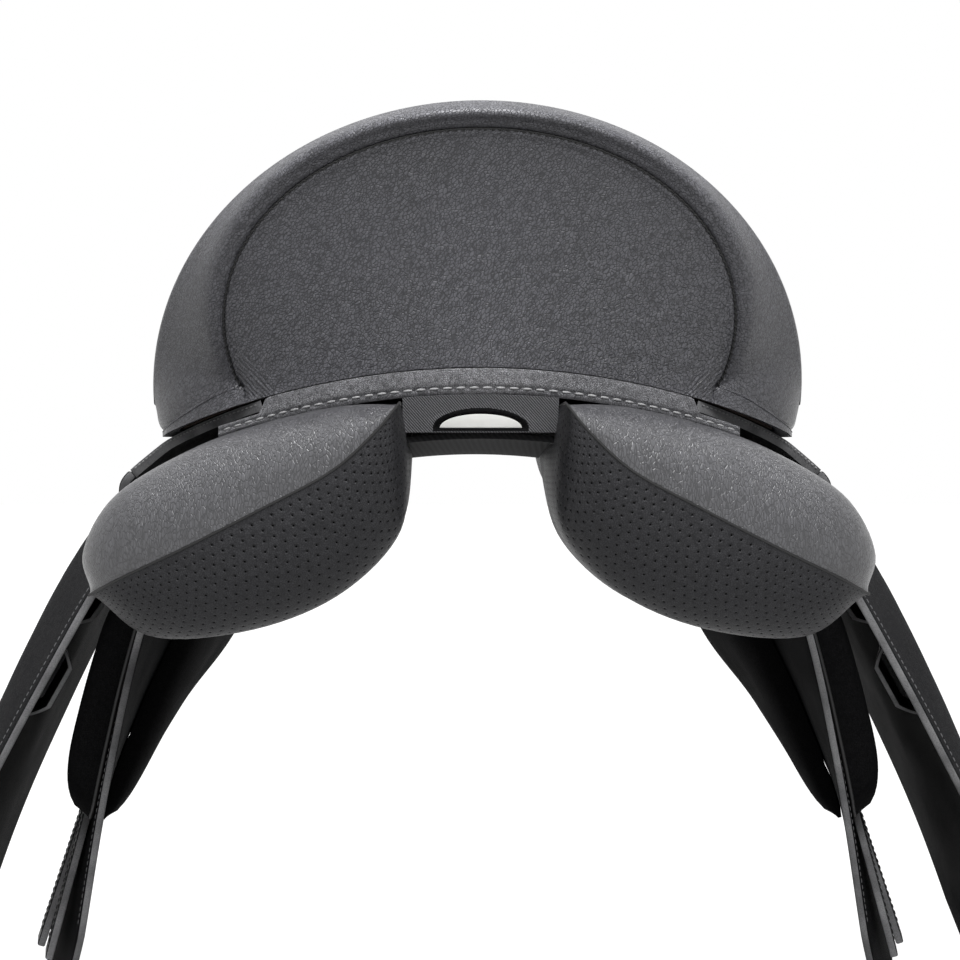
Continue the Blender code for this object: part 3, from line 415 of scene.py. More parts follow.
def seat_guides(a, depth, crest):
    """The lines that the seat is drawn over, at a from 0 behind, 1 and 2 along the side, to 3 in front."""
    up = Vector((0, 0, 1))
    if a <= 1:
        turn = math.pi / 2 * a
        sin, cos = math.sin(turn), math.cos(turn)
        radial = Vector((sin, 0, cos))
        outward = Vector((sin, -cos, 0))
        wide = Vector(
            (SEAT_HALF_WIDTH * sin, CANTLE_Y + CANTLE_SWEEP * (1 - cos), SEAT_WIDEST_Z + CANTLE_RISE * cos)
        )
        past = max(a - SEAM_END, 0) / (1 - SEAM_END)
        foot_x = FOOT_SEAM_X * min(a / SEAM_END, 1) ** 0.9 + (FOOT_SIDE_X - FOOT_SEAM_X) * past
        foot = Vector((foot_x, rear_line(foot_x), 0)) - outward * depth * FOOT_INSET
        foot.z = arch(foot.x, FOOT_SIDE_Y)
        curl = math.radians(SEAM_CURL) * min(a / SEAM_END, 1)
        seam = Vector(
            (
                SEAM_HALF_WIDTH * math.sin(curl),
                SEAM_Y + SEAM_SWEEP * (1 - math.cos(curl)),
                SEAM_MIDDLE_Z + SEAM_RISE * math.cos(curl),
            )
        )
        seam -= Vector((math.sin(curl), 0, math.cos(curl))) * (crest - depth) * cos + outward * depth
        if past:
            low = foot + up * (SEAM_END_RISE + (SIDE_WELT - SEAM_END_RISE) * past)
            seam = seam.lerp(low, step(past * SEAM_BLEND))
        lean = Vector((0, cos, 0)) + Vector((-cos, 0, sin)) * sin
        centre_y = DISH_REAR_Y + (DISH_SIDE_Y - DISH_REAR_Y) * a
        sag = 0.0
    else:
        turn = math.pi / 2 * max(a - 2, 0)
        sin, cos = 1.0, 0.0
        outward = Vector((math.cos(turn), math.sin(turn), 0))
        radial = outward
        y = FOOT_SIDE_Y + (HEAD_Y - FOOT_SIDE_Y) * min(a - 1, 1)
        edge_x, _ = foot_line(y)
        foot = Vector((edge_x * math.cos(turn), y + HEAD_ROUND * math.sin(turn), 0))
        wide = foot + outward * SIDE_BULGE + up * (arch(foot.x, foot.y) + SIDE_RISE)
        foot -= outward * depth * FOOT_INSET
        foot.z = arch(foot.x, foot.y)
        seam = foot + up * SIDE_WELT
        lean = up
        centre_y = DISH_SIDE_Y + (DISH_HEAD_Y - DISH_SIDE_Y) * min(a - 1, 1) + 0.010 * math.sin(turn)
        sag = HEAD_CREST * math.sin(turn)
    height, slope = centre_line(centre_y)
    centre = Vector((0, centre_y, height))
    rise = cos * ROLL_SHOULDER + sin * 0.55 * (height - wide.z) + sag
    wide = wide - radial * (cos * crest + sin * depth) + Vector((0, 0.8 * crest * cos, 0))
    across = Vector((wide.x, wide.y - centre.y, 0))
    reach = across.length / 2
    away = across.normalized()
    away.z = slope * away.y
    centre.z -= depth
    return foot, seam, wide, centre, wide + lean * rise, centre + away * reach


def seat_point(a, r, depth=0.0, crest=0.0):
    """A point of the seat: r is 0 at the foot, 1 at the seam, 2 at the rim and 3 on the centre line."""
    foot, seam, wide, centre, near_rim, near_centre = seat_guides(a, depth, crest)
    if r <= 1:
        point = foot.lerp(seam, r)
        if a < SEAM_END:
            point += Vector((0, BACK_HOLLOW * 4 * r * (1 - r) * math.cos(math.pi / 2 * a), 0))
        return point
    if r <= 2:
        k = r - 1
        before = seat_guides(max(a - 0.02, 0), depth, crest)[2]
        beyond = seat_guides(min(a + 0.02, 3), depth, crest)[2]
        swell = (beyond - before).cross(wide - seam).normalized()
        if swell.dot(wide - Vector((0, -0.06, 0.12))) < 0:
            swell = -swell
        bulge = ROLL_BULGE * math.cos(math.pi / 2 * min(a, 1)) + SIDE_BULGE / 2
        bulge *= 1 - crest / TREE_CREST
        if a in (0, 3):
            swell.x = 0
        # The roll is fullest just over the seam, so that most of what shows from behind faces up.
        return seam.lerp(wide, k) + swell * bulge * math.sin(math.pi * k**ROLL_LEAN)
    k = r - 2
    point = wide * (1 - k) ** 3 + near_rim * 3 * k * (1 - k) ** 2
    point += near_centre * 3 * k * k * (1 - k) + centre * k**3
    if k == 1 or a in (0, 3):
        point.x = 0
    return point


def offset(surface, height):
    """The surface moved by height along its normal, which points away from the centre plane."""

    def moved(u, w):
        span = 0.01
        u0, u1 = max(u - span, 0), min(u + span, 1)
        w0, w1 = max(w - span, 0), min(w + span, 1)
        normal = (surface(u1, w) - surface(u0, w)).cross(surface(u, w1) - surface(u, w0)).normalized()
        if normal.x < 0:
            normal = -normal
        return surface(u, w) + normal * (height(u, w) if callable(height) else height)

    return moved


def part_of(surface, span, reach):
    def stretch(u, w):
        return surface(span[0] + (span[1] - span[0]) * u, reach[0] + (reach[1] - reach[0]) * w)

    return stretch


def flap_height(x, y):
    """Upper face of the flap's fixed top: under the seat along the arch, then out to the fold."""
    edge_x, edge_z = foot_line(y)
    if x <= edge_x:
        return arch(x, y) - SEAT_REST
    slope = -2 * (arch(0, y) - edge_z) / edge_x
    span = FOLD_X - edge_x
    return ease(edge_z - SEAT_REST, FOLD_Z, slope, FOLD_SLOPE, span, (x - edge_x) / span)


def flap_top_face(u, w):
    """Upper face of the flap's fixed top; its tail reaches further in, over the end of the cantle band."""
    rear, front = through(FLAP_TOP_REAR, w), through(FLAP_TOP_FRONT, w)
    y = rear + (front - rear) * u
    inner = foot_line(y)[0] - FLAP_UNDER_SEAT - TAIL_REACH * (1 - step(u * 9))
    x = inner + (FOLD_X - LOOSE / 2 - inner) * w
    return Vector((x, y, flap_height(x, y)))


def flap_face(u, w):
    """Outer face of the flap below its fold: it curls in toward both its edges, and its foot is round."""
    w *= 1 - FLAP_FOOT_ROUND * (2 * u - 1) ** 4
    rear, front = through(FLAP_REAR, w), through(FLAP_FRONT, w)
    y = rear + (front - rear) * u
    spot = through([Vector(point) for point in FLAP_FACE], w)
    curl = step((FLAP_CURL_Y - y) / FLAP_CURL_SPAN) * FLAP_CURL * step(w * 3)
    curl += step((y - FLAP_TOE_Y) / FLAP_CURL_SPAN) * FLAP_TOE * step(w * 1.6)
    return Vector((spot.x + LOOSE / 2 - curl, y, spot.y))


def sweat_at(y, w):
    """Outer face of the sweat flap at Y, from its top under the flap at w = 0 to its foot at w = 1."""
    share = (y - SWEAT_REAR_Y) / (SWEAT_FRONT_Y - SWEAT_REAR_Y)
    points = [Vector((SWEAT_TOP_X, flap_height(SWEAT_TOP_X, y) - 1.25 * FLAP_THICK - LOOSE))]
    for rear, front in zip(SWEAT_FACE_REAR, SWEAT_FACE_FRONT):
        points.append(Vector(rear).lerp(Vector(front), share))
    spot = through(points, w)
    return Vector((spot.x, y, spot.y))


def sweat_face(u, w):
    w *= 1 - SWEAT_FOOT_ROUND * (2 * u - 1) ** 4
    rear, front = through(SWEAT_REAR, w), through(SWEAT_FRONT, w)
    return sweat_at(rear + (front - rear) * u, w)


def skirt_face(u, w):
    """Upper face of the skirt, raised over the stirrup bar; its outer corners are round."""
    w *= 1 - SKIRT_ROUND * (2 * u - 1) ** 4
    rear, front = through(SKIRT_REAR, w), through(SKIRT_FRONT, w)
    y = rear + (front - rear) * u
    inner = foot_line(y)[0] + SKIRT_INNER_GAP
    x = inner + (SKIRT_EDGE_X - inner) * w
    over_bar = step(min(u, 1 - u) * 8) * step(w * SKIRT_RISE)
    over_bar *= 1 - step(w * 1.6 - 0.6)
    lift = SKIRT_EDGE_LIFT * step(w * SKIRT_RISE) + (SKIRT_LIFT - SKIRT_EDGE_LIFT) * over_bar
    return Vector((x, y, flap_height(x, y) + 2 * LOOSE + SKIRT_THICK + lift))


def panel_place(point, y):
    """A point of the rear section carried forward to Y, under the arch there."""
    x, z = point
    depth = arch(x, FOOT_SIDE_Y) - z - PANEL_DROP
    moved_x = PANEL_INNER_X + (x - PANEL_INNER_X) * between(PANEL_WIDTHS, y)
    return Vector((moved_x, y, arch(moved_x, y) - PANEL_DROP - depth * between(PANEL_DEPTHS, y)))


def panel_surface(chain, fullness=1.0):
    """One face of the panel, closed onto its welt behind and in front."""
    outline = [Vector(point) for point in chain]
    welt = [Vector(point) for point in PANEL_WELT]

    def surface(u, w):
        start = PANEL_REAR_Y + PANEL_REAR_CURVE * u**2.5
        if w <= PANEL_CAP:
            turn = math.pi / 2 * w / PANEL_CAP
            y, full = start + PANEL_ROUND * (1 - math.cos(turn)), math.sin(turn)
        elif w <= PANEL_FRONT_CAP:
            share = (w - PANEL_CAP) / (PANEL_FRONT_CAP - PANEL_CAP)
            y = start + PANEL_ROUND + (PANEL_FRONT_Y - PANEL_FRONT_ROUND - start - PANEL_ROUND) * share
            full = 1.0
        else:
            turn = math.pi / 2 * (w - PANEL_FRONT_CAP) / (1 - PANEL_FRONT_CAP)
            y, full = PANEL_FRONT_Y - PANEL_FRONT_ROUND * (1 - math.sin(turn)), math.cos(turn)
        on_welt = panel_place(through(welt, u), y)
        return on_welt.lerp(panel_place(through(outline, u), y), max(full * fullness, 0))

    return surface


def dome(u, w):
    return math.sqrt(max(0.0, (1 - (2 * u - 1) ** 4) * (1 - (2 * w - 1) ** 6)))


def tone(code):
    """A linear colour from an sRGB hex code."""
    parts = [int(code[k : k + 2], 16) / 255 for k in (1, 3, 5)]
    return (*(p / 12.92 if p <= 0.04045 else ((p + 0.055) / 1.055) ** 2.4 for p in parts), 1.0)


def add(tree, kind, sockets=(), **settings):
    """Adds a node. sockets pairs each input with a value, or with the output that is linked to it."""
    made = tree.nodes.new(kind)
    for key, value in settings.items():
        setattr(made, key, value)
    for key, value in dict(sockets).items():
        if isinstance(value, bpy.types.NodeSocket):
            tree.links.new(value, made.inputs[key])
        else:
            made.inputs[key].default_value = value
    return made


def blank(name):
    """A new material: itself, its nodes, its shader and the point that is shaded."""
    made = bpy.data.materials.new(name)
    made.use_nodes = True
    tree = made.node_tree
    return made, tree, tree.nodes["Principled BSDF"], add(tree, "ShaderNodeTexCoord").outputs["Object"]


def cloudy(tree, where, scale, detail=2.0, rough=0.5):
    """Noise with scale patches a metre."""
    sockets = {"Vector": where, "Scale": scale, "Detail": detail, "Roughness": rough}
    return add(tree, "ShaderNodeTexNoise", sockets).outputs["Fac"]


def spread(tree, value, low, high, to_low=0.0, to_high=1.0, kind="LINEAR"):
    """The value carried from one range over to another."""
    sockets = {"Value": value, "From Min": low, "From Max": high, "To Min": to_low, "To Max": to_high}
    return add(tree, "ShaderNodeMapRange", sockets, interpolation_type=kind).outputs["Result"]


def reckon(tree, operation, *values):
    return add(tree, "ShaderNodeMath", dict(enumerate(values)), operation=operation).outputs[0]


def shift(tree, operation, *values):
    """A sum over vectors."""
    return add(tree, "ShaderNodeVectorMath", dict(enumerate(values)), operation=operation).outputs[0]


def dyed(tree, shader, factor, dark, light):
    """Colours the shader between two tones."""
    colour = add(tree, "ShaderNodeMix", {"Factor": factor, "A": tone(dark), "B": tone(light)}, data_type="RGBA")
    tree.links.new(colour.outputs["Result"], shader.inputs["Base Color"])


def finished(shader, rough, gloss=0.5):
    shader.inputs["Roughness"].default_value = rough
    shader.inputs["Specular IOR Level"].default_value = gloss


def embossed(tree, shader, height, depth, strength):
    """Adds a bump, depth millimetres deep, over the bumps that are there."""
    sockets = {"Height": height, "Distance": depth * MM, "Strength": strength}
    for link in shader.inputs["Normal"].links:
        sockets["Normal"] = link.from_socket
    bump = add(tree, "ShaderNodeBump", sockets)
    tree.links.new(bump.outputs["Normal"], shader.inputs["Normal"])


def leather(name, dark, light, pebble, depth, rough, gloss=0.3, stretch=(1, 1, 1), turn=0.0):
    """Drum-dyed cowhide: pebbles pebble millimetres wide, with painted shade in the creases between them.

    depth is the height of the pebbles in millimetres. stretch draws them out along the axes of a frame
    that is turned by turn degrees about Y.
    """
    made, tree, shader, where = blank(name)
    turned = {"Vector": where, "Scale": stretch, "Rotation": (0, math.radians(turn), 0)}
    where = add(tree, "ShaderNodeMapping", turned, vector_type="TEXTURE").outputs["Vector"]
    # The hide's folds, about 5 mm apart, bend the rows of pebbles by up to 1.6 mm.
    drift = add(tree, "ShaderNodeTexNoise", {"Vector": where, "Scale": 200.0, "Detail": 2.0}).outputs["Color"]
    bent = shift(tree, "ADD", where, shift(tree, "MULTIPLY", drift, (0.0016, 0.0016, 0.0016)))
    cells = add(tree, "ShaderNodeTexVoronoi", {"Vector": bent, "Scale": 1000 / pebble}, feature="DISTANCE_TO_EDGE")
    crown = spread(tree, cells.outputs["Distance"], 0.0, 0.16, kind="SMOOTHSTEP")
    # Longer creases about 2.4 mm apart run across several pebbles; they are bumps, and painted shade in the colour.
    creases = cloudy(tree, bent, 420.0, 4.0)
    # Pores about 0.4 mm apart.
    pores = cloudy(tree, where, 2500.0, 3.0)
    # Patches about 36 mm wide where the dye took darker or lighter.
    patches = cloudy(tree, where, 28.0, 3.0)
    # Painted shade: the colour darkens between the pebbles and along the longer creases; a quarter of it is the
    # dye's patches.
    crease_shade_and_dye = spread(tree, reckon(tree, "MULTIPLY", crown, creases), 0.15, 0.65)
    crease_shade_and_dye = add(tree, "ShaderNodeMix", {"Factor": 0.25, 2: crease_shade_and_dye, 3: patches}).outputs[0]
    dyed(tree, shader, crease_shade_and_dye, dark, light)
    finished(shader, rough, gloss)
    dull = spread(tree, patches, 0.3, 0.7, rough - 0.05, rough + 0.07)
    tree.links.new(dull, shader.inputs["Roughness"])
    embossed(tree, shader, pores, 0.05, 0.5)
    embossed(tree, shader, creases, 1.2 * depth, 0.5)
    embossed(tree, shader, crown, 1.3 * depth, 0.9)
    return made


def cut_edge():
    """Edge of vegetable-tanned leather, sanded and dyed: fibrous and matt. It is lighter than the grain side partly
    by its own grey, partly as painted light, since little lamp light reaches the edges.
    """
    made, tree, shader, where = blank("sanded leather cut edge, lightened as painted light")
    # Fibre bundles about 0.6 mm thick, in patches of about 17 mm.
    fibre = cloudy(tree, where, 1600.0, 5.0, 0.7)
    mixed = reckon(tree, "MULTIPLY", fibre, cloudy(tree, where, 60.0))
    # Painted light: these tones are lighter than the edge's own grey.
    dyed(tree, shader, spread(tree, mixed, 0.1, 0.45), "#68686a", "#b0b0b2")
    finished(shader, 0.85, 0.2)
    embossed(tree, shader, fibre, 0.15, 0.7)
    return made


def perforated(name):
    """The panel's bearing leather: smooth cowhide with 0.9 mm holes, 5 mm apart in staggered rows; the holes are
    painted as near-black discs of shade.
    """
    # Darker than the gusset leather: partly its own tone, partly painted shade on the panel's underside.
    made = leather(name, "#232325", "#4a4a4d", 0.9, 0.04, 0.45, 0.16)
    tree = made.node_tree
    shader = tree.nodes["Principled BSDF"]
    uv = add(tree, "ShaderNodeUVMap", uv_map="rows").outputs["UV"]
    spot = shift(tree, "MULTIPLY", uv, (1000 / HOLE_PITCH, 1000 / ROW_PITCH, 1))
    nearest = []
    for moved in ((0, 0, 0), (0.5, 0.5, 0)):
        inside = shift(tree, "FRACTION", shift(tree, "ADD", spot, moved))
        centred = shift(tree, "SUBTRACT", inside, (0.5, 0.5, 0))
        real = shift(tree, "MULTIPLY", centred, (HOLE_PITCH, ROW_PITCH, 0))
        nearest.append(add(tree, "ShaderNodeVectorMath", {0: real}, operation="LENGTH").outputs["Value"])
    distance = reckon(tree, "MINIMUM", *nearest)
    hole = spread(tree, distance, 0.32, 0.55, kind="SMOOTHSTEP")
    # Painted shade: each hole is coloured near-black and loses its gloss, standing in for the shade inside it.
    before = shader.inputs["Base Color"].links[0].from_socket
    colour = add(tree, "ShaderNodeMix", {"Factor": hole, "A": tone("#020202"), "B": before}, data_type="RGBA")
    tree.links.new(colour.outputs["Result"], shader.inputs["Base Color"])
    tree.links.new(reckon(tree, "MULTIPLY", hole, 0.16), shader.inputs["Specular IOR Level"])
    # The leather dips toward each hole over 0.9 mm, so that the far side of its rim catches light.
    embossed(tree, shader, spread(tree, distance, 0.3, 1.2, kind="SMOOTHSTEP"), 0.5, 1.0)
    return made


def woven(name, dark, light, pitch, rough=0.75):
    """A coated twill: diagonal cords pitch millimetres apart."""
    made, tree, shader, where = blank(name)
    turned = add(tree, "ShaderNodeMapping", {"Vector": where, "Rotation": (0, math.radians(42), 0)}).outputs[0]
    # A wave of scale 1 has about 3.18 bands a metre.
    banded = {"Vector": turned, "Scale": 1000 / pitch / 3.18, "Distortion": 1.2, "Detail": 1.0, "Detail Scale": 3.0}
    cords = add(tree, "ShaderNodeTexWave", banded, bands_direction="X").outputs["Fac"]
    dyed(tree, shader, cords, dark, light)
    finished(shader, rough, 0.3)
    embossed(tree, shader, cords, 0.2, 0.7)
    return made


def thread(name, dark, light):
    """Waxed linen thread: plies 0.5 mm apart that catch light along their twist."""
    made, tree, shader, where = blank(name)
    plies = cloudy(tree, where, 2000.0)
    dyed(tree, shader, plies, dark, light)
    finished(shader, 0.6)
    embossed(tree, shader, plies, 0.1, 0.6)
    return made


def steel(name, colour, rough, brushed=0.0):
    """Stainless steel, tumbled or polished; brushed draws fine scratches of that strength along Y."""
    made, tree, shader, where = blank(name)
    lined = add(tree, "ShaderNodeMapping", {"Vector": where, "Scale": (1, 0.06, 1)}).outputs["Vector"]
    # Scratches 0.3 mm apart and smears about 11 mm wide.
    scratches, smears = cloudy(tree, lined, 3000.0, 4.0), cloudy(tree, where, 90.0, 3.0)
    dyed(tree, shader, smears, colour, "#8d8d8c")
    tree.links.new(spread(tree, smears, 0.0, 1.0, rough - 0.05, rough + 0.1), shader.inputs["Roughness"])
    shader.inputs["Metallic"].default_value = 1.0
    embossed(tree, shader, scratches, 0.02, brushed)
    return made


def laminate():
    """Beech veneers glued over a mould: long grain along the saddle. Its dark tone is partly a stain, partly
    painted shade where the tree shows in the gap under the seat.
    """
    made, tree, shader, where = blank("moulded beech laminate")
    along = add(tree, "ShaderNodeMapping", {"Vector": where, "Scale": (1, 0.08, 1)}).outputs["Vector"]
    # Growth rings 3 mm wide.
    rings = cloudy(tree, along, 330.0, 5.0)
    # Dark brown tones: stain and painted shade.
    dyed(tree, shader, rings, "#1f1712", "#39291d")
    finished(shader, 0.55)
    embossed(tree, shader, rings, 0.1, 0.5)
    return made


def enamel():
    """The badge plate: pale baked enamel, left plain, with handling marks about 2.5 mm wide in its gloss."""
    made, tree, shader, where = blank("pale enamelled plate")
    marks = cloudy(tree, where, 400.0, 4.0)
    dyed(tree, shader, marks, "#cfcfcc", "#dcdcd9")
    tree.links.new(spread(tree, marks, 0.0, 1.0, 0.25, 0.4), shader.inputs["Roughness"])
    return made


SEAT_LEATHER = leather("seat leather, pebbled calf", "#26262a", "#6e6e74", 1.2, 0.13, 0.34, 0.5, (1, 1, 1.7), 38)
# The flap leather is darker than the seat's: partly its own black, partly painted shade on the flaps.
FLAP_LEATHER = leather("flap leather, printed bridle hide", "#19191a", "#373739", 1.1, 0.1, 0.75, 0.04)
GUSSET_LEATHER = leather("panel gusset, milled calf", "#303033", "#646468", 1.2, 0.12, 0.33, 0.75, (1, 1, 2.6))
# The band's light tone is partly its own lighter grain, partly painted highlight.
BAND_LEATHER = leather("cantle band leather, fine printed grain", "#333336", "#a2a2a6", 0.8, 0.16, 0.45, 0.5)
# The lining and the flap back are near-black: partly their black dye, partly painted shade on the inner faces and
# pads that carry them.
LINING_LEATHER = leather("lining leather, smooth panel hide", "#0e0e0f", "#1e1e1f", 1.0, 0.04, 0.8, 0.02)
INNER_HIDE = leather("flap back, matt flesh side", "#0b0b0c", "#19191a", 0.9, 0.05, 0.75, 0.03)
STRAP_LEATHER = leather("strap leather, waxed bridle butt", "#0a0a0b", "#171718", 1.0, 0.04, 0.42, 0.25)
BEARING_LEATHER = perforated("panel bearing leather, perforated calf")
EDGE = cut_edge()
FACING_CLOTH = woven("gullet facing, coated twill", "#1c1c1e", "#666669", 0.9)
WEBBING = woven("woven seat webbing, black", "#0f0f10", "#232325", 2.0, 0.85)
BLACK_THREAD = thread("waxed thread, black", "#020203", "#0b0b0c")
PALE_THREAD = thread("waxed thread, pale grey", "#8d8d8f", "#c4c4c5")
GREY_THREAD = thread("waxed thread, mid grey", "#565658", "#7f7f82")
BAR_STEEL = steel("forged stainless steel, tumbled", "#b4b4b3", 0.3, 0.5)
RING_STEEL = steel("stainless steel wire, polished", "#c9c9c8", 0.16)
PLATE_STEEL = steel("gullet plate steel, mill finish", "#6f7072", 0.45, 0.7)
NICKEL = steel("nickel-plated stud, polished", "#cfcdc8", 0.14)
BEECH = laminate()
BADGE_ENAMEL = enamel()


def shown(name, bm, materials, side=1, smooth=True):
    """Turns a bmesh of the right-hand piece into an object, with its faces pointing out."""
    if side < 0:
        bmesh.ops.scale(bm, vec=(-1, 1, 1), verts=bm.verts[:])
    bmesh.ops.recalc_face_normals(bm, faces=bm.faces[:])
    mesh = bpy.data.meshes.new(name)
    bm.to_mesh(mesh)
    bm.free()
    for made in materials:
        mesh.materials.append(made)
    if smooth:
        mesh.shade_smooth()
        mesh.set_sharp_from_angle(angle=math.radians(50))
    obj = bpy.data.objects.new(name, mesh)
    scene.collection.objects.link(obj)
    return obj


def body(name, cells, upper, lower, materials, side=1, edge=1.2 * MM):
    """A closed body between two surfaces over u and w, with its cut edge in the second material and rounded."""
    bm = bmesh.new()
    where = bm.verts.layers.float_vector.new("where")
    rows = bm.loops.layers.uv.new("rows")
    grid = bmesh.ops.create_grid(bm, x_segments=cells[0], y_segments=cells[1], size=0.5)
    for vert in grid["verts"]:
        vert[where] = (vert.co.x + 0.5, vert.co.y + 0.5, 0)
    grown = bmesh.ops.extrude_face_region(bm, geom=bm.faces[:])["geom"]
    under = {item for item in grown if isinstance(item, bmesh.types.BMVert)}
    flat = {item for item in grown if isinstance(item, bmesh.types.BMFace)}
    for vert in bm.verts:
        u, w, _ = vert[where]
        vert.co = (lower if vert in under else upper)(u, w)
    rim = [face for face in bm.faces if face not in flat and any(v in under for v in face.verts)]
    for face in bm.faces:
        for loop in face.loops:
            loop[rows].uv = loop.vert[where].xy
    for face in flat:
        face.material_index = len(materials) - 1 if len(materials) > 2 else 0
    for face in rim:
        face.material_index = 1 if len(materials) > 1 else 0
    bmesh.ops.remove_doubles(bm, verts=bm.verts[:], dist=2e-6)
    if edge:
        around = {face for face in rim if face.is_valid}
        # The lines between the cut edge and a face.
        sharp = [line for line in bm.edges if len(line.link_faces) == 2 and len(around & {*line.link_faces}) == 1]
        bmesh.ops.recalc_face_normals(bm, faces=bm.faces[:])
        bmesh.ops.bevel(
            bm, geom=sharp, offset=edge, segments=3, profile=0.5, affect="EDGES", material=-1, clamp_overlap=True
        )
    return shown(name, bm, materials, side)


def ride(obj, name, replaced=()):
    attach(obj, name)
    if replaced:
        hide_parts(*replaced)


def stitches(name, path, side, rides, made_of=GREY_THREAD, size=PLAIN_STITCH, leans=(0,)):
    """Stitches along a path of points and normals. size is their pitch, length and radius.

    leans holds how far each leans across, in turn.
    """
    pitch, length, radius = size
    points = [Vector(point) for point, _ in path]
    normals = [Vector(normal) for _, normal in path]
    along = [0.0]
    for a, b in zip(points, points[1:]):
        along.append(along[-1] + (b - a).length)
    whole, few = bmesh.new(), bmesh.new()
    held = bpy.data.meshes.new(name)
    count = max(int(along[-1] / pitch), 1)
    spot = 0
    for k in range(count):
        at = (k + 0.5) * along[-1] / count
        while spot < len(along) - 2 and along[spot + 1] < at:
            spot += 1
        share = (at - along[spot]) / (along[spot + 1] - along[spot])
        here = points[spot].lerp(points[spot + 1], share)
        normal = normals[spot].lerp(normals[spot + 1], share).normalized()
        ahead = (points[spot + 1] - points[spot]).normalized()
        across = normal.cross(ahead).normalized()
        ahead = (ahead * length + across * leans[k % len(leans)]).normalized()
        across = normal.cross(ahead).normalized()
        turned = Matrix((ahead, across, ahead.cross(across))).transposed().to_4x4()
        placed = Matrix.Translation(here) @ turned @ Matrix.Diagonal((length / 2, radius, radius * 0.8, 1))
        bmesh.ops.create_uvsphere(few, u_segments=6, v_segments=4, radius=1.0, matrix=placed)
        # A few dozen at a time, since an operator takes as long as its mesh is large.
        if k % 30 == 29 or k == count - 1:
            few.to_mesh(held)
            whole.from_mesh(held)
            few.clear()
    few.free()
    bpy.data.meshes.remove(held)
    ride(shown(name, whole, [made_of], side), rides)


def cord_along(name, points, radius, made_of, side, rides, replaced=(), closed=False):
    """A round welt or wire along a path of points."""
    curve = bpy.data.curves.new(name, "CURVE")
    curve.dimensions = "3D"
    curve.bevel_depth = radius
    curve.bevel_resolution = 3
    curve.use_fill_caps = True
    line = curve.splines.new("POLY")
    line.points.add(len(points) - 1)
    line.use_cyclic_u = closed
    for knot, spot in zip(line.points, points):
        knot.co = (spot[0], spot[1], spot[2], 1)
    drawn = bpy.data.objects.new(f"{name}_path", curve)
    scene.collection.objects.link(drawn)
    made = bpy.data.meshes.new_from_object(drawn)
    bpy.data.objects.remove(drawn, do_unlink=True)
    bm = bmesh.new()
    bm.from_mesh(made)
    bpy.data.meshes.remove(made)
    bmesh.ops.remove_doubles(bm, verts=bm.verts[:], dist=1e-6)
    ride(shown(name, bm, [made_of], side), rides, replaced)


def run(surface, start, end, count):
    """Points and normals along a straight run over a surface's u and w."""
    path = []
    for k in range(count + 1):
        share = k / count
        u = start[0] + (end[0] - start[0]) * share
        w = start[1] + (end[1] - start[1]) * share
        here = surface(u, w)
        path.append((here, offset(surface, 1.0)(u, w) - here))
    return path


# The seat: rings round it from the cantle to the head, and rows up it from its foot to the centre line.
RING = [*np.linspace(0, 0.72, 56), *np.linspace(0.725, 0.93, 76), *np.linspace(0.94, 1, 6)]
RING += [*np.linspace(1.02, 2, 44), *np.linspace(2.04, 3, 26)]
ROWS = [*np.linspace(0, 0.6, 12), *np.linspace(0.62, 0.93, 24), 0.95, 0.965, 0.976, 0.985, 0.992, 0.996, 1.0]
ROWS += [1.006, 1.012, 1.025, 1.04, 1.06, 1.09, *np.linspace(1.12, 2.08, 30)]
FILLET = (0.92, 1.2)
DISH = 2.16
ROWS += [2.1, 2.12, 2.135, 2.145, 2.152, DISH, 2.168, 2.175, 2.185, 2.2, *np.linspace(2.23, 3, 24)]
UNDER_ROWS = (0, 0.5, 1, 1.5, 2, 2.3, 2.6, 3)


def pucker(x, z, r):
    """Wrinkles that run from the lower end of the cantle seam down towards the middle of the back."""
    away = math.hypot(x - PUCKER_PLACE[0], (z - PUCKER_PLACE[1]) * 1.1)
    near = bell(away, PUCKER_REACH) * step((1 - r) * 14)
    across = (x - z) * 0.7071
    swirl = noise.noise(Vector((x * 220, z * 220, 3.0))) * 0.0007
    deep = 0.6 + 0.8 * noise.noise(Vector((x * 400, z * 400, 9.0)))
    return PUCKER_HEIGHT * near * deep * math.sin((across + swirl) * 2 * math.pi / PUCKER_PITCH)


def filleted(points, held):
    """Rounds the valley at the cantle seam: a Bezier from the row before it to the row after it."""
    low, high = FILLET
    seam = points[ROWS.index(1.0)].copy()
    before = points[min(j for j, r in enumerate(ROWS) if r >= low)].copy()
    beyond = points[max(j for j, r in enumerate(ROWS) if r <= high)].copy()
    for j, r in enumerate(ROWS):
        if low < r < high:
            t = (r - low) / (1 - low) / 2 if r <= 1 else 0.5 + (r - 1) / (high - 1) / 2
            curve = before * (1 - t) ** 2 + seam * 2 * t * (1 - t) + beyond * t * t
            points[j] += (curve - points[j]) * held[:, None]


def evened(points):
    """Evens out the roll along its rows beside the lower ends of the cantle seam, where it would fold."""
    places = np.array(RING)
    pull = np.exp(-(((places[None] - places[:, None]) / 0.04) ** 2)) * np.gradient(places)[None]
    pull /= pull.sum(axis=1, keepdims=True)
    near = np.array([step((a - 0.74) / 0.06) * (1 - step((a - 1.0) / 0.12)) for a in RING])
    for j, r in enumerate(ROWS):
        share = step((r - 1) / 0.06) * (1 - step((r - 1.9) / 0.15))
        if share:
            points[j] += (pull @ points[j] - points[j]) * (near * share)[:, None]


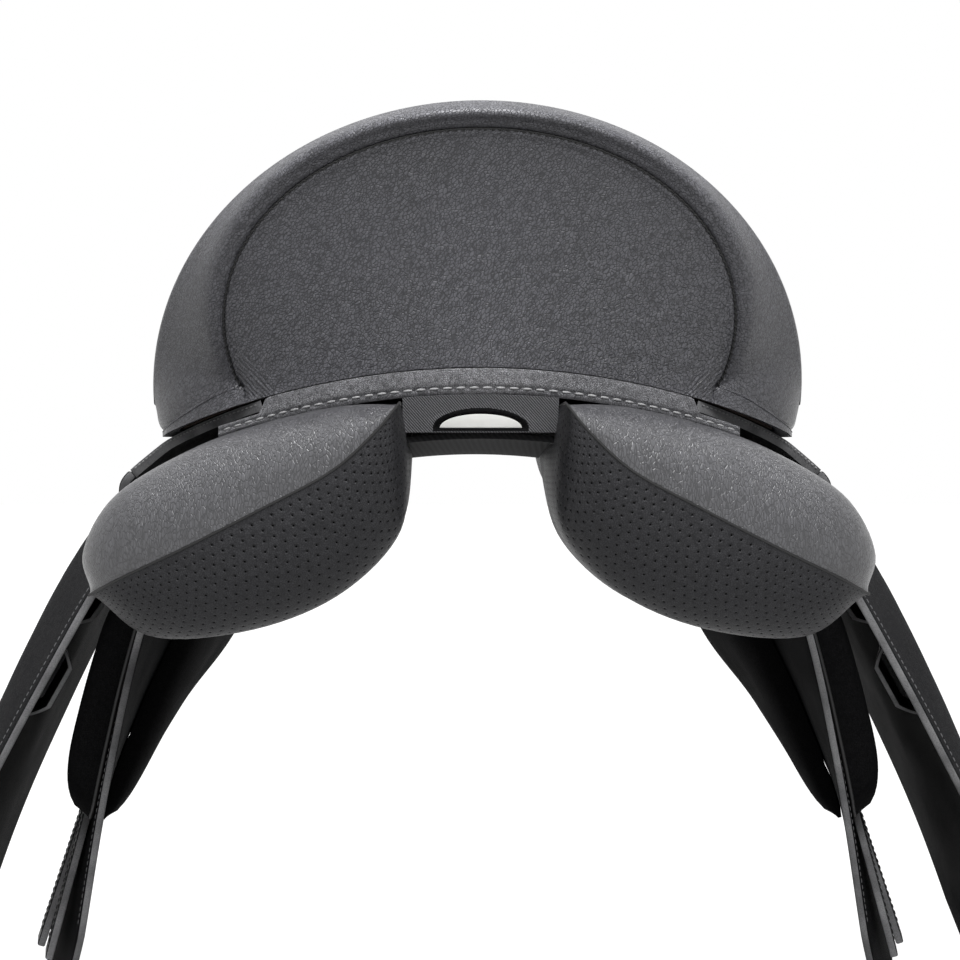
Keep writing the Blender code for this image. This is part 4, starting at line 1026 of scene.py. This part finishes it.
def seat():
    outer = np.array([[seat_point(float(a), float(r)) for a in RING] for r in ROWS])
    held = np.array([1 - step((a - SEAM_END + 0.03) / 0.06) for a in RING])
    evened(outer)
    filleted(outer, held)
    normal = np.cross(np.gradient(outer, axis=1), np.gradient(outer, axis=0))
    normal /= np.maximum(np.linalg.norm(normal, axis=2, keepdims=True), 1e-12)
    middle = np.array((0.0, -0.05, 0.12))
    flip = np.sum(normal * (outer - middle), axis=2, keepdims=True) < 0
    normal = np.where(flip, -normal, normal)
    seam_row = ROWS.index(1.0)
    dish_row = ROWS.index(DISH)
    relief = np.zeros(outer.shape[:2])
    for j, r in enumerate(ROWS):
        from_seam = np.linalg.norm(outer[j] - outer[seam_row], axis=1)
        from_dish = np.linalg.norm(outer[j] - outer[dish_row], axis=1)
        relief[j] -= 0.0006 * held * np.exp(-((from_seam / 0.0007) ** 2))
        relief[j] -= 0.0009 * np.exp(-((from_dish / 0.0013) ** 2))
        if r <= 1:
            relief[j] += 0.0003 * held * np.exp(-(((from_seam - 0.0022) / 0.0011) ** 2))
            relief[j] += [pucker(x, z, r) for x, _, z in outer[j]]
        elif r < 2:
            relief[j] += 0.0004 * held * np.exp(-(((from_seam - 0.003) / 0.0016) ** 2))
    outer += normal * relief[:, :, None]
    outer[:, 0, 0] = 0
    outer[:, -1, 0] = 0
    outer[-1, :, 0] = 0
    crest = TREE_CREST - TREE_DEPTH + FOAM_DEPTH
    inner = [[seat_point(float(a), r, FOAM_DEPTH, crest) for a in RING] for r in UNDER_ROWS[::-1]]
    across, round_it = len(inner) + len(ROWS) - 1, len(RING) - 1
    bm = bmesh.new()
    grid = bmesh.ops.create_grid(bm, x_segments=across, y_segments=round_it, size=0.5)
    for vert in grid["verts"]:
        j = round((vert.co.x + 0.5) * across)
        i = round((vert.co.y + 0.5) * round_it)
        vert.co = inner[j][i] if j < len(inner) else Vector(outer[j - len(inner), i])
    bmesh.ops.mirror(bm, geom=bm.verts[:] + bm.edges[:] + bm.faces[:], axis="X", merge_dist=1e-5)
    bmesh.ops.remove_doubles(bm, verts=bm.verts[:], dist=3e-6)
    obj = shown("seat", bm, [SEAT_LEATHER])
    ride(obj, "saddle", ("seat_cover", "seat_foam"))
    for suffix, side, _ in SIDES:
        sewn_to = sum(a <= SEAM_END + 0.004 for a in RING)
        route = [(outer[seam_row, i] + normal[seam_row, i] * 0.0004, normal[seam_row, i]) for i in range(sewn_to)]
        cord_along(f"cantle_seam_{suffix}", [point for point, _ in route], SEAM_CORD, BLACK_THREAD, side, "saddle")
        route = [(point + out * 0.0005, out) for point, out in route]
        leans = (CANTLE_STITCH_LEAN,)
        stitches(f"cantle_stitches_{suffix}", route, side, "saddle", BLACK_THREAD, CANTLE_STITCH, leans)
        for number, row in enumerate((ROWS.index(2.135), ROWS.index(2.185))):
            path = [(outer[row, i] + normal[row, i] * STITCH_LIFT, normal[row, i]) for i in range(len(RING))]
            stitches(f"dish_stitches_{number}_{suffix}", path, side, "saddle", BLACK_THREAD, DISH_STITCH)
        welt = []
        for a in np.linspace(1.06, 3, 116):
            foot = seat_point(float(a), 0)
            out = seat_point(float(a), 1.4) - Vector((0, -0.03, foot.z))
            out.z = 0
            welt.append(foot + out.normalized() * 0.75 * SEAT_WELT + Vector((0, 0, SEAT_WELT)))
        cord_along(f"seat_welt_{suffix}", welt, SEAT_WELT, SEAT_LEATHER, side, "saddle")


def cantle_band():
    def face(proud, front):
        def surface(u, w):
            x = BAND_HALF * (2 * u - 1)
            under_tail = step((abs(x) - BAND_STEP_X + BAND_STEP_RUN) / BAND_STEP_RUN)
            top = arch(x, FOOT_SIDE_Y) - LOOSE - BAND_STEP_DROP * under_tail
            foot = arch(x, FOOT_SIDE_Y) - BAND_HEIGHT
            z = top + (foot - top) * w
            relief = 0.0
            if front:
                crown = BAND_CROWN * (1 - abs(2 * w - 0.75) ** 3)
                relief = crown - BAND_SEAM_DIP * bell(z - foot - BAND_SEAM_UP, BAND_SEAM_DIP)
            return Vector((x, rear_line(x) - proud - relief, z))

        return surface

    back = face(BAND_PROUD - BAND_THICK, False)
    front = face(BAND_PROUD - 0.0008, True)
    obj = body("cantle_band_leather", (150, 22), front, back, [BAND_LEATHER, EDGE], edge=0.8 * MM)
    ride(obj, "saddle", ("cantle_band",))
    path = []
    for k in range(161):
        x = BAND_HALF * 0.985 * (k / 80 - 1)
        foot = arch(x, FOOT_SIDE_Y) - BAND_HEIGHT
        slope = (rear_line(x + 0.001) - rear_line(x - 0.001)) / 0.002
        here = Vector((x, rear_line(x) - BAND_PROUD + 0.0003, foot + BAND_SEAM_UP))
        path.append((here, Vector((slope, -1, 0))))
    stitches("cantle_band_stitches", path, 1, "saddle", PALE_THREAD, BAND_STITCH)


def gullet_facing():
    def face(y, relief):
        def surface(u, w):
            x = (FACING_HALF + FACING_TUCK) * (2 * u - 1)
            top = arch(x, FOOT_SIDE_Y) - BAND_HEIGHT - LOOSE / 5
            z = FACING_FOOT_Z + (top - FACING_FOOT_Z) * w
            if not relief:
                return Vector((x, y, z))
            up = z - BADGE_FOOT_Z
            out = math.hypot(x / BADGE_HALF, max(up, 0) / BADGE_RISE) - 1
            edge = max(out * BADGE_RISE, -up)
            sunk = 1 - step((edge - 0.0002) / 0.0006)
            lip = bell(edge - 0.0014, 0.0007)
            return Vector((x, y + BADGE_SINK * sunk - 0.0004 * lip, z))

        return surface

    back = face(FACING_Y + FACING_THICK, False)
    obj = body("gullet_facing_cloth", (160, 56), face(FACING_Y, True), back, [FACING_CLOTH], edge=0.3 * MM)
    # A dark ring round the recess.
    obj.data.materials.append(LINING_LEATHER)
    for poly in obj.data.polygons:
        up = poly.center.z - BADGE_FOOT_Z
        reach = math.hypot(poly.center.x / (BADGE_HALF + BADGE_RING), max(up, 0) / (BADGE_RISE + 0.0026))
        if reach < 1 and up > -BADGE_RING / 2:
            poly.material_index = 1
    ride(obj, "saddle", ("gullet_facing",))
    bm = bmesh.new()
    bmesh.ops.create_circle(bm, cap_ends=True, segments=96, radius=1.0)
    for vert in bm.verts:
        up = BADGE_FOOT_Z + max(vert.co.y, 0.0) * BADGE_RISE
        vert.co = Vector((vert.co.x * BADGE_HALF, FACING_Y - 0.0002, up))
    bmesh.ops.remove_doubles(bm, verts=bm.verts[:], dist=1e-5)
    grown = bmesh.ops.extrude_face_region(bm, geom=bm.faces[:])["geom"]
    moved = [item for item in grown if isinstance(item, bmesh.types.BMVert)]
    bmesh.ops.translate(bm, vec=(0, 0.0009, 0), verts=moved)
    bmesh.ops.recalc_face_normals(bm, faces=bm.faces[:])
    front = [e for e in bm.edges if all(abs(v.co.y - FACING_Y + 0.0002) < 1e-6 for v in e.verts)]
    bmesh.ops.bevel(bm, geom=front, offset=0.00035, segments=3, profile=0.5, affect="EDGES", material=-1)
    plate = shown("badge", bm, [BADGE_ENAMEL])
    ride(plate, "saddle", ("badge_plate",))


def gullet_lining():
    def face(drop, ribbed):
        def surface(u, w):
            y = LINING_REAR_Y + (LINING_FRONT_Y - LINING_REAR_Y) * w
            crown = LINING_CROWN * (1 - (2 * u - 1) ** 2)
            x = (LINING_HALF + LINING_TUCK) * (2 * u - 1)
            relief = 0.0
            if ribbed:
                back = y - LINING_REAR_Y
                ribs = step((back - 0.004) / 0.004) * (1 - step((back - 0.018) / 0.01))
                relief = LINING_RIB_HEIGHT * math.sin(2 * math.pi * x / LINING_RIBS) * ribs
                relief += 0.0006 * (1 - step((back - LINING_HEM) / 0.0008))
            return Vector((x, y, between(LINING_HEIGHTS, y) + crown - drop - relief))

        return surface

    obj = body("lining_web", (120, 90), face(0, False), face(LINING_THICK, True), [WEBBING], edge=0.4 * MM)
    ride(obj, "saddle", ("gullet_lining",))


def seat_webbing():
    def face(depth, ribbed):
        def surface(u, w):
            a = 1.125 + 0.75 * w
            crest = TREE_CREST - TREE_DEPTH + depth
            centre, edge = seat_point(a, 3, depth, crest), seat_point(a, 2.6, depth, crest)
            point = centre.lerp(edge, 0.7 * abs(2 * u - 1))
            point.x *= 1 if u > 0.5 else -1
            if ribbed:
                point.z -= 0.0002 * math.sin(2 * math.pi * point.x / 0.004)
            return point

        return surface

    top = FOAM_DEPTH + LOOSE
    obj = body("seat_web", (50, 60), face(top, False), face(top + SEAT_WEB_THICK, True), [WEBBING], edge=0.3 * MM)
    ride(obj, "saddle", ("seat_webbing",))


def swollen(obj, pinned, cap):
    """Blows a pad up with a cloth simulation; no point moves further than cap, and pinned points stay."""
    mesh = obj.data
    before = np.empty(len(mesh.vertices) * 3)
    mesh.vertices.foreach_get("co", before)
    held = obj.vertex_groups.new(name="seam")
    held.add(pinned, 1.0, "REPLACE")
    puff = obj.modifiers.new("puff", "CLOTH")
    puff.settings.use_pressure = True
    puff.settings.uniform_pressure_force = SWELL_PRESSURE
    puff.settings.effector_weights.gravity = 0
    puff.settings.vertex_group_mass = "seam"
    puff.settings.quality = 6
    puff.settings.tension_stiffness = 20
    puff.settings.compression_stiffness = 20
    puff.settings.bending_stiffness = 2.0
    puff.settings.mass = 0.4
    puff.point_cache.frame_start = 1
    puff.point_cache.frame_end = SWELL_FRAMES
    for number in range(1, SWELL_FRAMES + 1):
        scene.frame_set(number)
    seen = obj.evaluated_get(bpy.context.evaluated_depsgraph_get())
    after = np.empty(len(before))
    seen.data.vertices.foreach_get("co", after)
    obj.modifiers.remove(puff)
    obj.vertex_groups.remove(held)
    scene.frame_set(1)
    move = (after - before).reshape(-1, 3)
    length = np.linalg.norm(move, axis=1, keepdims=True)
    move *= np.minimum(1, cap / np.maximum(length, 1e-9))
    mesh.vertices.foreach_set("co", (before.reshape(-1, 3) + move).ravel())
    mesh.update()


def rim_of(obj):
    """Numbers of the points on the edge of a body's u and w square."""
    places = (item.vector for item in obj.data.attributes["where"].data)
    return [number for number, (u, w, _) in enumerate(places) if min(u, 1 - u, w, 1 - w) < 1e-5]


def arc_lengths(points):
    """Distance run at each of the points along their line."""
    steps = np.linalg.norm(np.diff(np.array(points), axis=0), axis=1)
    return np.concatenate(((0.0,), np.cumsum(steps)))


def panels():
    for suffix, side, _ in SIDES:
        top, under = panel_surface(PANEL_TOP, 0.98), panel_surface(PANEL_UNDER, 0.97)
        materials = [GUSSET_LEATHER, GUSSET_LEATHER, BEARING_LEATHER]
        obj = body(f"panel_cushion_{suffix}", (44, 60), top, under, materials, side, edge=0)
        shares = np.linspace(0, 1, 61)
        across = arc_lengths([under(float(t), 0.2) for t in shares])
        forward = arc_lengths([under(0.5, float(t)) for t in shares])
        for loop in obj.data.uv_layers["rows"].data:
            loop.uv = (np.interp(loop.uv[0], shares, across), np.interp(loop.uv[1], shares, forward))
        swollen(obj, rim_of(obj), SWELL_CAP)
        ride(obj, "saddle", (f"panel_{suffix}",))
        seam = [panel_surface(PANEL_TOP)(0.004 + 0.992 * k / 90, 0.0) for k in range(91)]
        sides = [[panel_surface(PANEL_TOP)(u, k / 80) for k in range(81)] for u in (0.0, 1.0)]
        for name, line in (("welt", seam), ("side_welt_0", sides[0]), ("side_welt_1", sides[1])):
            name = f"panel_{name}_{suffix}"
            cord_along(name, line, PANEL_WELT_CORD, BLACK_THREAD, side, "saddle")


def pads():
    """Knee and thigh blocks under the flap, and the padded front wing under the sweat flap."""
    for suffix, side, _ in SIDES:
        for name, span, reach, height in (
            ("knee_block", KNEE_SPAN, KNEE_REACH, KNEE_HEIGHT),
            ("thigh_block", THIGH_SPAN, THIGH_REACH, THIGH_HEIGHT),
        ):
            face = part_of(sweat_face, span, reach)
            over = offset(face, lambda u, w, high=height: BLOCK_GAP + BLOCK_EDGE + high * 0.96 * dome(u, w))
            under = offset(face, BLOCK_GAP)
            obj = body(f"{name}_pad_{suffix}", (28, 44), over, under, [LINING_LEATHER], side, edge=0)
            ride(obj, "saddle", (f"{name}_{suffix}",))
            line = [point for point, _ in edge_run(offset(face, BLOCK_GAP + BLOCK_EDGE * 0.5), 0.0)]
            name = f"{name}_welt_{suffix}"
            cord_along(name, line, BLOCK_WELT, BLACK_THREAD, side, "saddle", closed=True)
        face = part_of(sweat_face, WING_SPAN, WING_REACH)
        over = offset(face, -SWEAT_THICK - BLOCK_GAP)
        under = offset(face, lambda u, w: -SWEAT_THICK - BLOCK_GAP - BLOCK_EDGE - WING_THICK * 0.97 * dome(u, w))
        obj = body(f"wing_pad_{suffix}", (40, 44), over, under, [LINING_LEATHER], side, edge=0)
        ride(obj, "saddle", (f"panel_wing_{suffix}",))


def edge_run(surface, inset):
    """Points and normals round the edge of a surface, inset by that share of u and w."""
    low, high = inset, 1 - inset
    corners = ((low, low), (high, low), (high, high), (low, high), (low, low))
    path = run(surface, *corners[:2], 40)
    for start, end in zip(corners[1:], corners[2:]):
        path += run(surface, start, end, 40)[1:]
    return path[:-1]


def flaps():
    for suffix, side, word in SIDES:
        under = offset(flap_top_face, -FLAP_THICK)
        obj = body(f"flap_head_{suffix}", (110, 34), flap_top_face, under, [FLAP_LEATHER, EDGE], side)
        ride(obj, "saddle", (f"flap_top_{suffix}",))
        tail = []
        for k in range(61):
            here, ahead = flap_top_face(0, 0.02 + 0.95 * k / 60), flap_top_face(0, 0.03 + 0.95 * k / 60)
            out = Vector((here.y - ahead.y, ahead.x - here.x, 0)).normalized() * -1
            tail.append((here + out * 0.0003 - Vector((0, 0, 0.0014)), out))
        stitches(f"tail_stitches_{suffix}", tail, side, "saddle", PALE_THREAD, TAIL_STITCH)
        under = offset(flap_face, -FLAP_THICK)
        obj = body(f"flap_leaf_{suffix}", (60, 66), flap_face, under, [FLAP_LEATHER, EDGE, INNER_HIDE], side)
        ride(obj, f"{word}_flap", (f"flap_{suffix}",))
        face = offset(flap_face, STITCH_LIFT)
        corners = ((0.02, 0.02), (0.02, 0.975), (0.98, 0.975), (0.98, 0.02))
        for number, (start, end) in enumerate(zip(corners, corners[1:])):
            stitches(f"flap_stitches_{number}_{suffix}", run(face, start, end, 80), side, f"{word}_flap")
        path = run(offset(flap_face, -FLAP_THICK - STITCH_LIFT), (0.022, 0.03), (0.022, 0.97), 90)
        name, leans = f"flap_inner_zigzag_{suffix}", (-ZIGZAG_LEAN, ZIGZAG_LEAN)
        stitches(name, path, side, f"{word}_flap", GREY_THREAD, ZIGZAG_STITCH, leans)
        under = offset(sweat_face, -SWEAT_THICK)
        obj = body(f"sweat_leaf_{suffix}", (44, 90), sweat_face, under, [INNER_HIDE, EDGE, LINING_LEATHER], side)
        ride(obj, "saddle", (f"sweat_flap_{suffix}",))
        path = run(offset(sweat_face, STITCH_LIFT), (0.025, 0.03), (0.025, 0.97), 80)
        stitches(f"sweat_stitches_{suffix}", path, side, "saddle")

        def skirt_under(u, w):
            return skirt_face(u, w) - Vector((0, 0, SKIRT_THICK))

        obj = body(f"skirt_leaf_{suffix}", (56, 34), skirt_face, skirt_under, [FLAP_LEATHER, EDGE], side, 0.9 * MM)
        ride(obj, f"{word}_skirt", (f"skirt_{suffix}",))

        def face(u, w):
            return skirt_face(u, w) + Vector((0, 0, STITCH_LIFT))

        path = []
        corners = ((0.03, 0.05), (0.03, 0.95), (0.97, 0.95), (0.97, 0.05))
        for start, end in zip(corners, corners[1:]):
            path += run(face, start, end, 50)[:-1]
        path = [(point, normal if normal.z > 0 else -normal) for point, normal in path]
        stitches(f"skirt_stitches_{suffix}", path, side, f"{word}_skirt")


def strap_face(middle_y):
    """Centre surface of a girth strap: it hangs down the slope of the sweat flap, and its end is flat."""

    def on_flap(u, w):
        reach = STRAP_REACH[0] + (STRAP_REACH[1] - STRAP_REACH[0]) * w
        fall = sweat_at(middle_y, reach).x - sweat_at(middle_y, STRAP_REACH[0]).x
        return sweat_at(middle_y - STRAP_DRIFT * fall + STRAP_WIDTH * (u - 0.5), reach)

    def surface(u, w):
        if w <= STRAP_FLAT:
            return on_flap(u, w)
        down = (on_flap(0.5, STRAP_FLAT) - on_flap(0.5, STRAP_FLAT - 0.02)) * 50
        return on_flap(u, STRAP_FLAT) + down * (w - STRAP_FLAT)

    return surface


def straps():
    for suffix, side, word in SIDES:
        for end, middle_y in (("front", STRAP_FRONT_Y), ("rear", STRAP_REAR_Y)):
            face = strap_face(middle_y)
            outer, inner = offset(face, STRAP_GAP + STRAP_THICK), offset(face, STRAP_GAP)
            name, finish = f"{end}_strap_leather_{suffix}", [STRAP_LEATHER, EDGE]
            obj = body(name, (10, 110), outer, inner, finish, side, 0.8 * MM)
            ride(obj, f"{word}_straps", (f"{end}_girth_strap_{suffix}",))
            raised = offset(face, STRAP_GAP + STRAP_THICK + STITCH_LIFT)
            for number, u in enumerate((0.12, 0.88)):
                path, name = run(raised, (u, 0.02), (u, 0.98), 80), f"{end}_strap_stitches_{number}_{suffix}"
                stitches(name, path, side, f"{word}_straps", BLACK_THREAD)
        front, rear = strap_face(STRAP_FRONT_Y), strap_face(STRAP_REAR_Y)

        def face(u, w):
            w = GUARD_REACH[0] + (GUARD_REACH[1] - GUARD_REACH[0]) * w
            fore, aft = front(1, w), rear(0, w)
            spread = GUARD_EDGE / (fore - aft).length
            return aft.lerp(fore, -spread + (1 + 2 * spread) * u)

        lift = STRAP_GAP + STRAP_THICK + LOOSE
        outer, inner = offset(face, lift + GUARD_THICK), offset(face, lift)
        obj = body(f"guard_leather_{suffix}", (34, 26), outer, inner, [STRAP_LEATHER, EDGE], side, 0.9 * MM)
        ride(obj, f"{word}_guard", (f"buckle_guard_{suffix}",))
        path = edge_run(offset(face, lift + GUARD_THICK + STITCH_LIFT), 0.05)
        stitches(f"guard_stitches_{suffix}", path, side, f"{word}_guard")


def frame_at(point, along, normal):
    """A frame at a point: X along, Z on the normal as nearly as it can, Y across."""
    along = along.normalized()
    across = normal.cross(along).normalized()
    turned = Matrix((along, across, along.cross(across))).transposed()
    return Matrix.Translation(point) @ turned.to_4x4()


def stud(bm, frame, radius, height):
    """A domed stud, spun from its profile."""
    profile = [bm.verts.new((0, 0, height))]
    for angle in (30, 55, 75, 90):
        turn = math.radians(angle)
        profile.append(bm.verts.new((radius * math.sin(turn), 0, height * math.cos(turn))))
    profile.append(bm.verts.new((radius * 0.7, 0, -height * 0.2)))
    lines = [bm.edges.new(pair) for pair in zip(profile, profile[1:])]
    before = set(bm.verts) - set(profile)
    bmesh.ops.spin(
        bm, geom=profile + lines, cent=(0, 0, 0), axis=(0, 0, 1), angle=2 * math.pi, steps=20, use_merge=True
    )
    made = [vert for vert in bm.verts if vert not in before]
    bmesh.ops.transform(bm, matrix=frame, verts=made)


def loops():
    for suffix, side, word in SIDES:
        loop(suffix, side, word, "loop", LOOP_PLACE, (f"flap_loop_{suffix}",))
        loop(suffix, side, word, "keeper", KEEPER_PLACE, ())


def loop(suffix, side, word, name, spot, replaced):
    """A leather loop with a stud at each end, on the inner face of the flap."""
    place = offset(flap_face, -FLAP_THICK - LOOSE)
    here = place(*spot)
    down = place(spot[0], spot[1] + 0.03) - place(spot[0], spot[1] - 0.03)
    placed = frame_at(here, down, here - flap_face(*spot))

    def face(thick):
        def surface(u, w):
            bow = math.sin(math.pi * w)
            rise = LOOP_STAND * min(bow * 1.6, 1) ** 0.8
            return placed @ Vector((LOOP_LENGTH * (w - 0.5), LOOP_WIDTH * (u - 0.5), rise + thick))

        return surface

    outer, inner = face(LOOP_THICK + LOOSE), face(LOOSE)
    obj = body(f"{name}_leather_{suffix}", (8, 60), outer, inner, [STRAP_LEATHER, EDGE], side, 0.6 * MM)
    ride(obj, f"{word}_flap", replaced)
    bm = bmesh.new()
    for end in (-0.44, 0.44):
        spot = Matrix.Translation((LOOP_LENGTH * end, 0, LOOP_THICK + LOOSE + 0.0013))
        stud(bm, placed @ spot, STUD_RADIUS, STUD_HEIGHT)
    obj = shown(f"{name}_studs_{suffix}", bm, [NICKEL], side)
    ride(obj, f"{word}_flap")


def dee_rings():
    for suffix, side, word in SIDES:
        here = Vector((DEE_X, DEE_Y, flap_height(DEE_X, DEE_Y)))
        outer = Vector((DEE_X + 0.01, DEE_Y, flap_height(DEE_X + 0.01, DEE_Y)))
        normal = Vector((here.z - outer.z, 0, outer.x - here.x))
        placed = frame_at(here, Vector((0, 1, 0)), normal) @ Matrix.Translation((0, 0, LOOSE + HOLDER_HEIGHT / 2))
        route = [Vector((DEE_HALF * k / 10, 0, 0)) for k in range(-10, 11)]
        for k in range(61):
            turn = math.radians(10 + 160 * k / 60)
            route.append(Vector((DEE_HALF * math.cos(turn), -DEE_DROP * math.sin(turn) * 0.8 - 0.004, 0)))
        route = [placed @ spot for spot in route]
        name, rides, replaced = f"dee_wire_{suffix}", f"{word}_dee", (f"dee_ring_{suffix}",)
        cord_along(name, route, DEE_WIRE, RING_STEEL, side, rides, replaced, closed=True)


def fittings():
    """Better finishes for the CAD nodes whose shape is right."""
    finishes = {
        "tree": BEECH,
        "gullet_plate": PLATE_STEEL,
        "stirrup_bar": BAR_STEEL,
        "bar_catch": BAR_STEEL,
        "dee_holder": STRAP_LEATHER,
        "saddle_nail": NICKEL,
    }
    for name, obj in frame["nodes"].items():
        finish = finishes.get(name.removesuffix("_r").removesuffix("_l"))
        if finish:
            for slot in obj.material_slots:
                slot.material = finish


def backdrop(tree, dim, bright):
    """How strongly a surface glows: bright for rays from the camera, gloss or glass, dim for the others."""
    ray = add(tree, "ShaderNodeLightPath").outputs
    seen = reckon(tree, "MAXIMUM", ray["Is Camera Ray"], ray["Is Glossy Ray"])
    seen = reckon(tree, "MAXIMUM", seen, ray["Is Transmission Ray"])
    return add(tree, "ShaderNodeMix", {"Factor": seen, 2: dim, 3: bright}).outputs[0]


def studio():
    """A white floor that keeps the saddle's shadow, a soft light overhead and a weaker one by the camera."""
    made, tree, shader, where = blank("pale studio floor")
    shader.inputs["Base Color"].default_value = tone("#7d7d7c")
    shader.inputs["Roughness"].default_value = 0.9
    away = add(tree, "ShaderNodeVectorMath", {0: where}, operation="LENGTH").outputs["Value"]
    # The floor is white by itself beyond 0.8 m, and nearer it leaves room for the shadow.
    bright = spread(tree, away, 0.5, 0.8, 0.94)
    glow = add(tree, "ShaderNodeEmission", {"Strength": backdrop(tree, 0.0, bright)})
    both = add(tree, "ShaderNodeAddShader", {0: shader.outputs[0], 1: glow.outputs[0]})
    tree.links.new(both.outputs[0], tree.nodes["Material Output"].inputs["Surface"])
    bm = bmesh.new()
    bmesh.ops.create_grid(bm, x_segments=1, y_segments=1, size=FLOOR_HALF)
    bmesh.ops.translate(bm, vec=(0, 0, cad_box[0].z - FLOOR_GAP), verts=bm.verts[:])
    shown("studio_floor", bm, [made], smooth=False)
    scene.world = bpy.data.worlds.new("white studio")
    scene.world.use_nodes = True
    tree = scene.world.node_tree
    tree.nodes.clear()
    sky = {"Color": tone("#ffffff"), "Strength": backdrop(tree, SKY_LIGHT, 1.0)}
    sky = add(tree, "ShaderNodeBackground", sky)
    add(tree, "ShaderNodeOutputWorld", {"Surface": sky.outputs[0]})
    for name, place, size, power in LAMPS:
        lamp = bpy.data.lights.new(name, "AREA")
        lamp.shape = "RECTANGLE"
        lamp.size, lamp.size_y = size
        lamp.energy = power
        aimed(name, lamp, place, LAMP_AIM)


def aimed(name, data, place, target):
    """An object of a lamp or camera that looks at the target."""
    obj = bpy.data.objects.new(name, data)
    obj.location = place
    obj.rotation_euler = (Vector(target) - obj.location).to_track_quat("-Z", "Y").to_euler()
    scene.collection.objects.link(obj)
    return obj


def camera():
    """Straight behind the cantle and a little to the left, at the height of the gullet."""
    lens = bpy.data.cameras.new("camera")
    lens.lens = CAMERA_LENS
    lens.sensor_width = 36
    scene.camera = aimed("camera", lens, CAMERA_PLACE, CAMERA_AIM)


camera()
seat()
cantle_band()
gullet_facing()
gullet_lining()
seat_webbing()
panels()
pads()
flaps()
straps()
loops()
dee_rings()
fittings()
studio()
scene.view_settings.view_transform = "Standard"
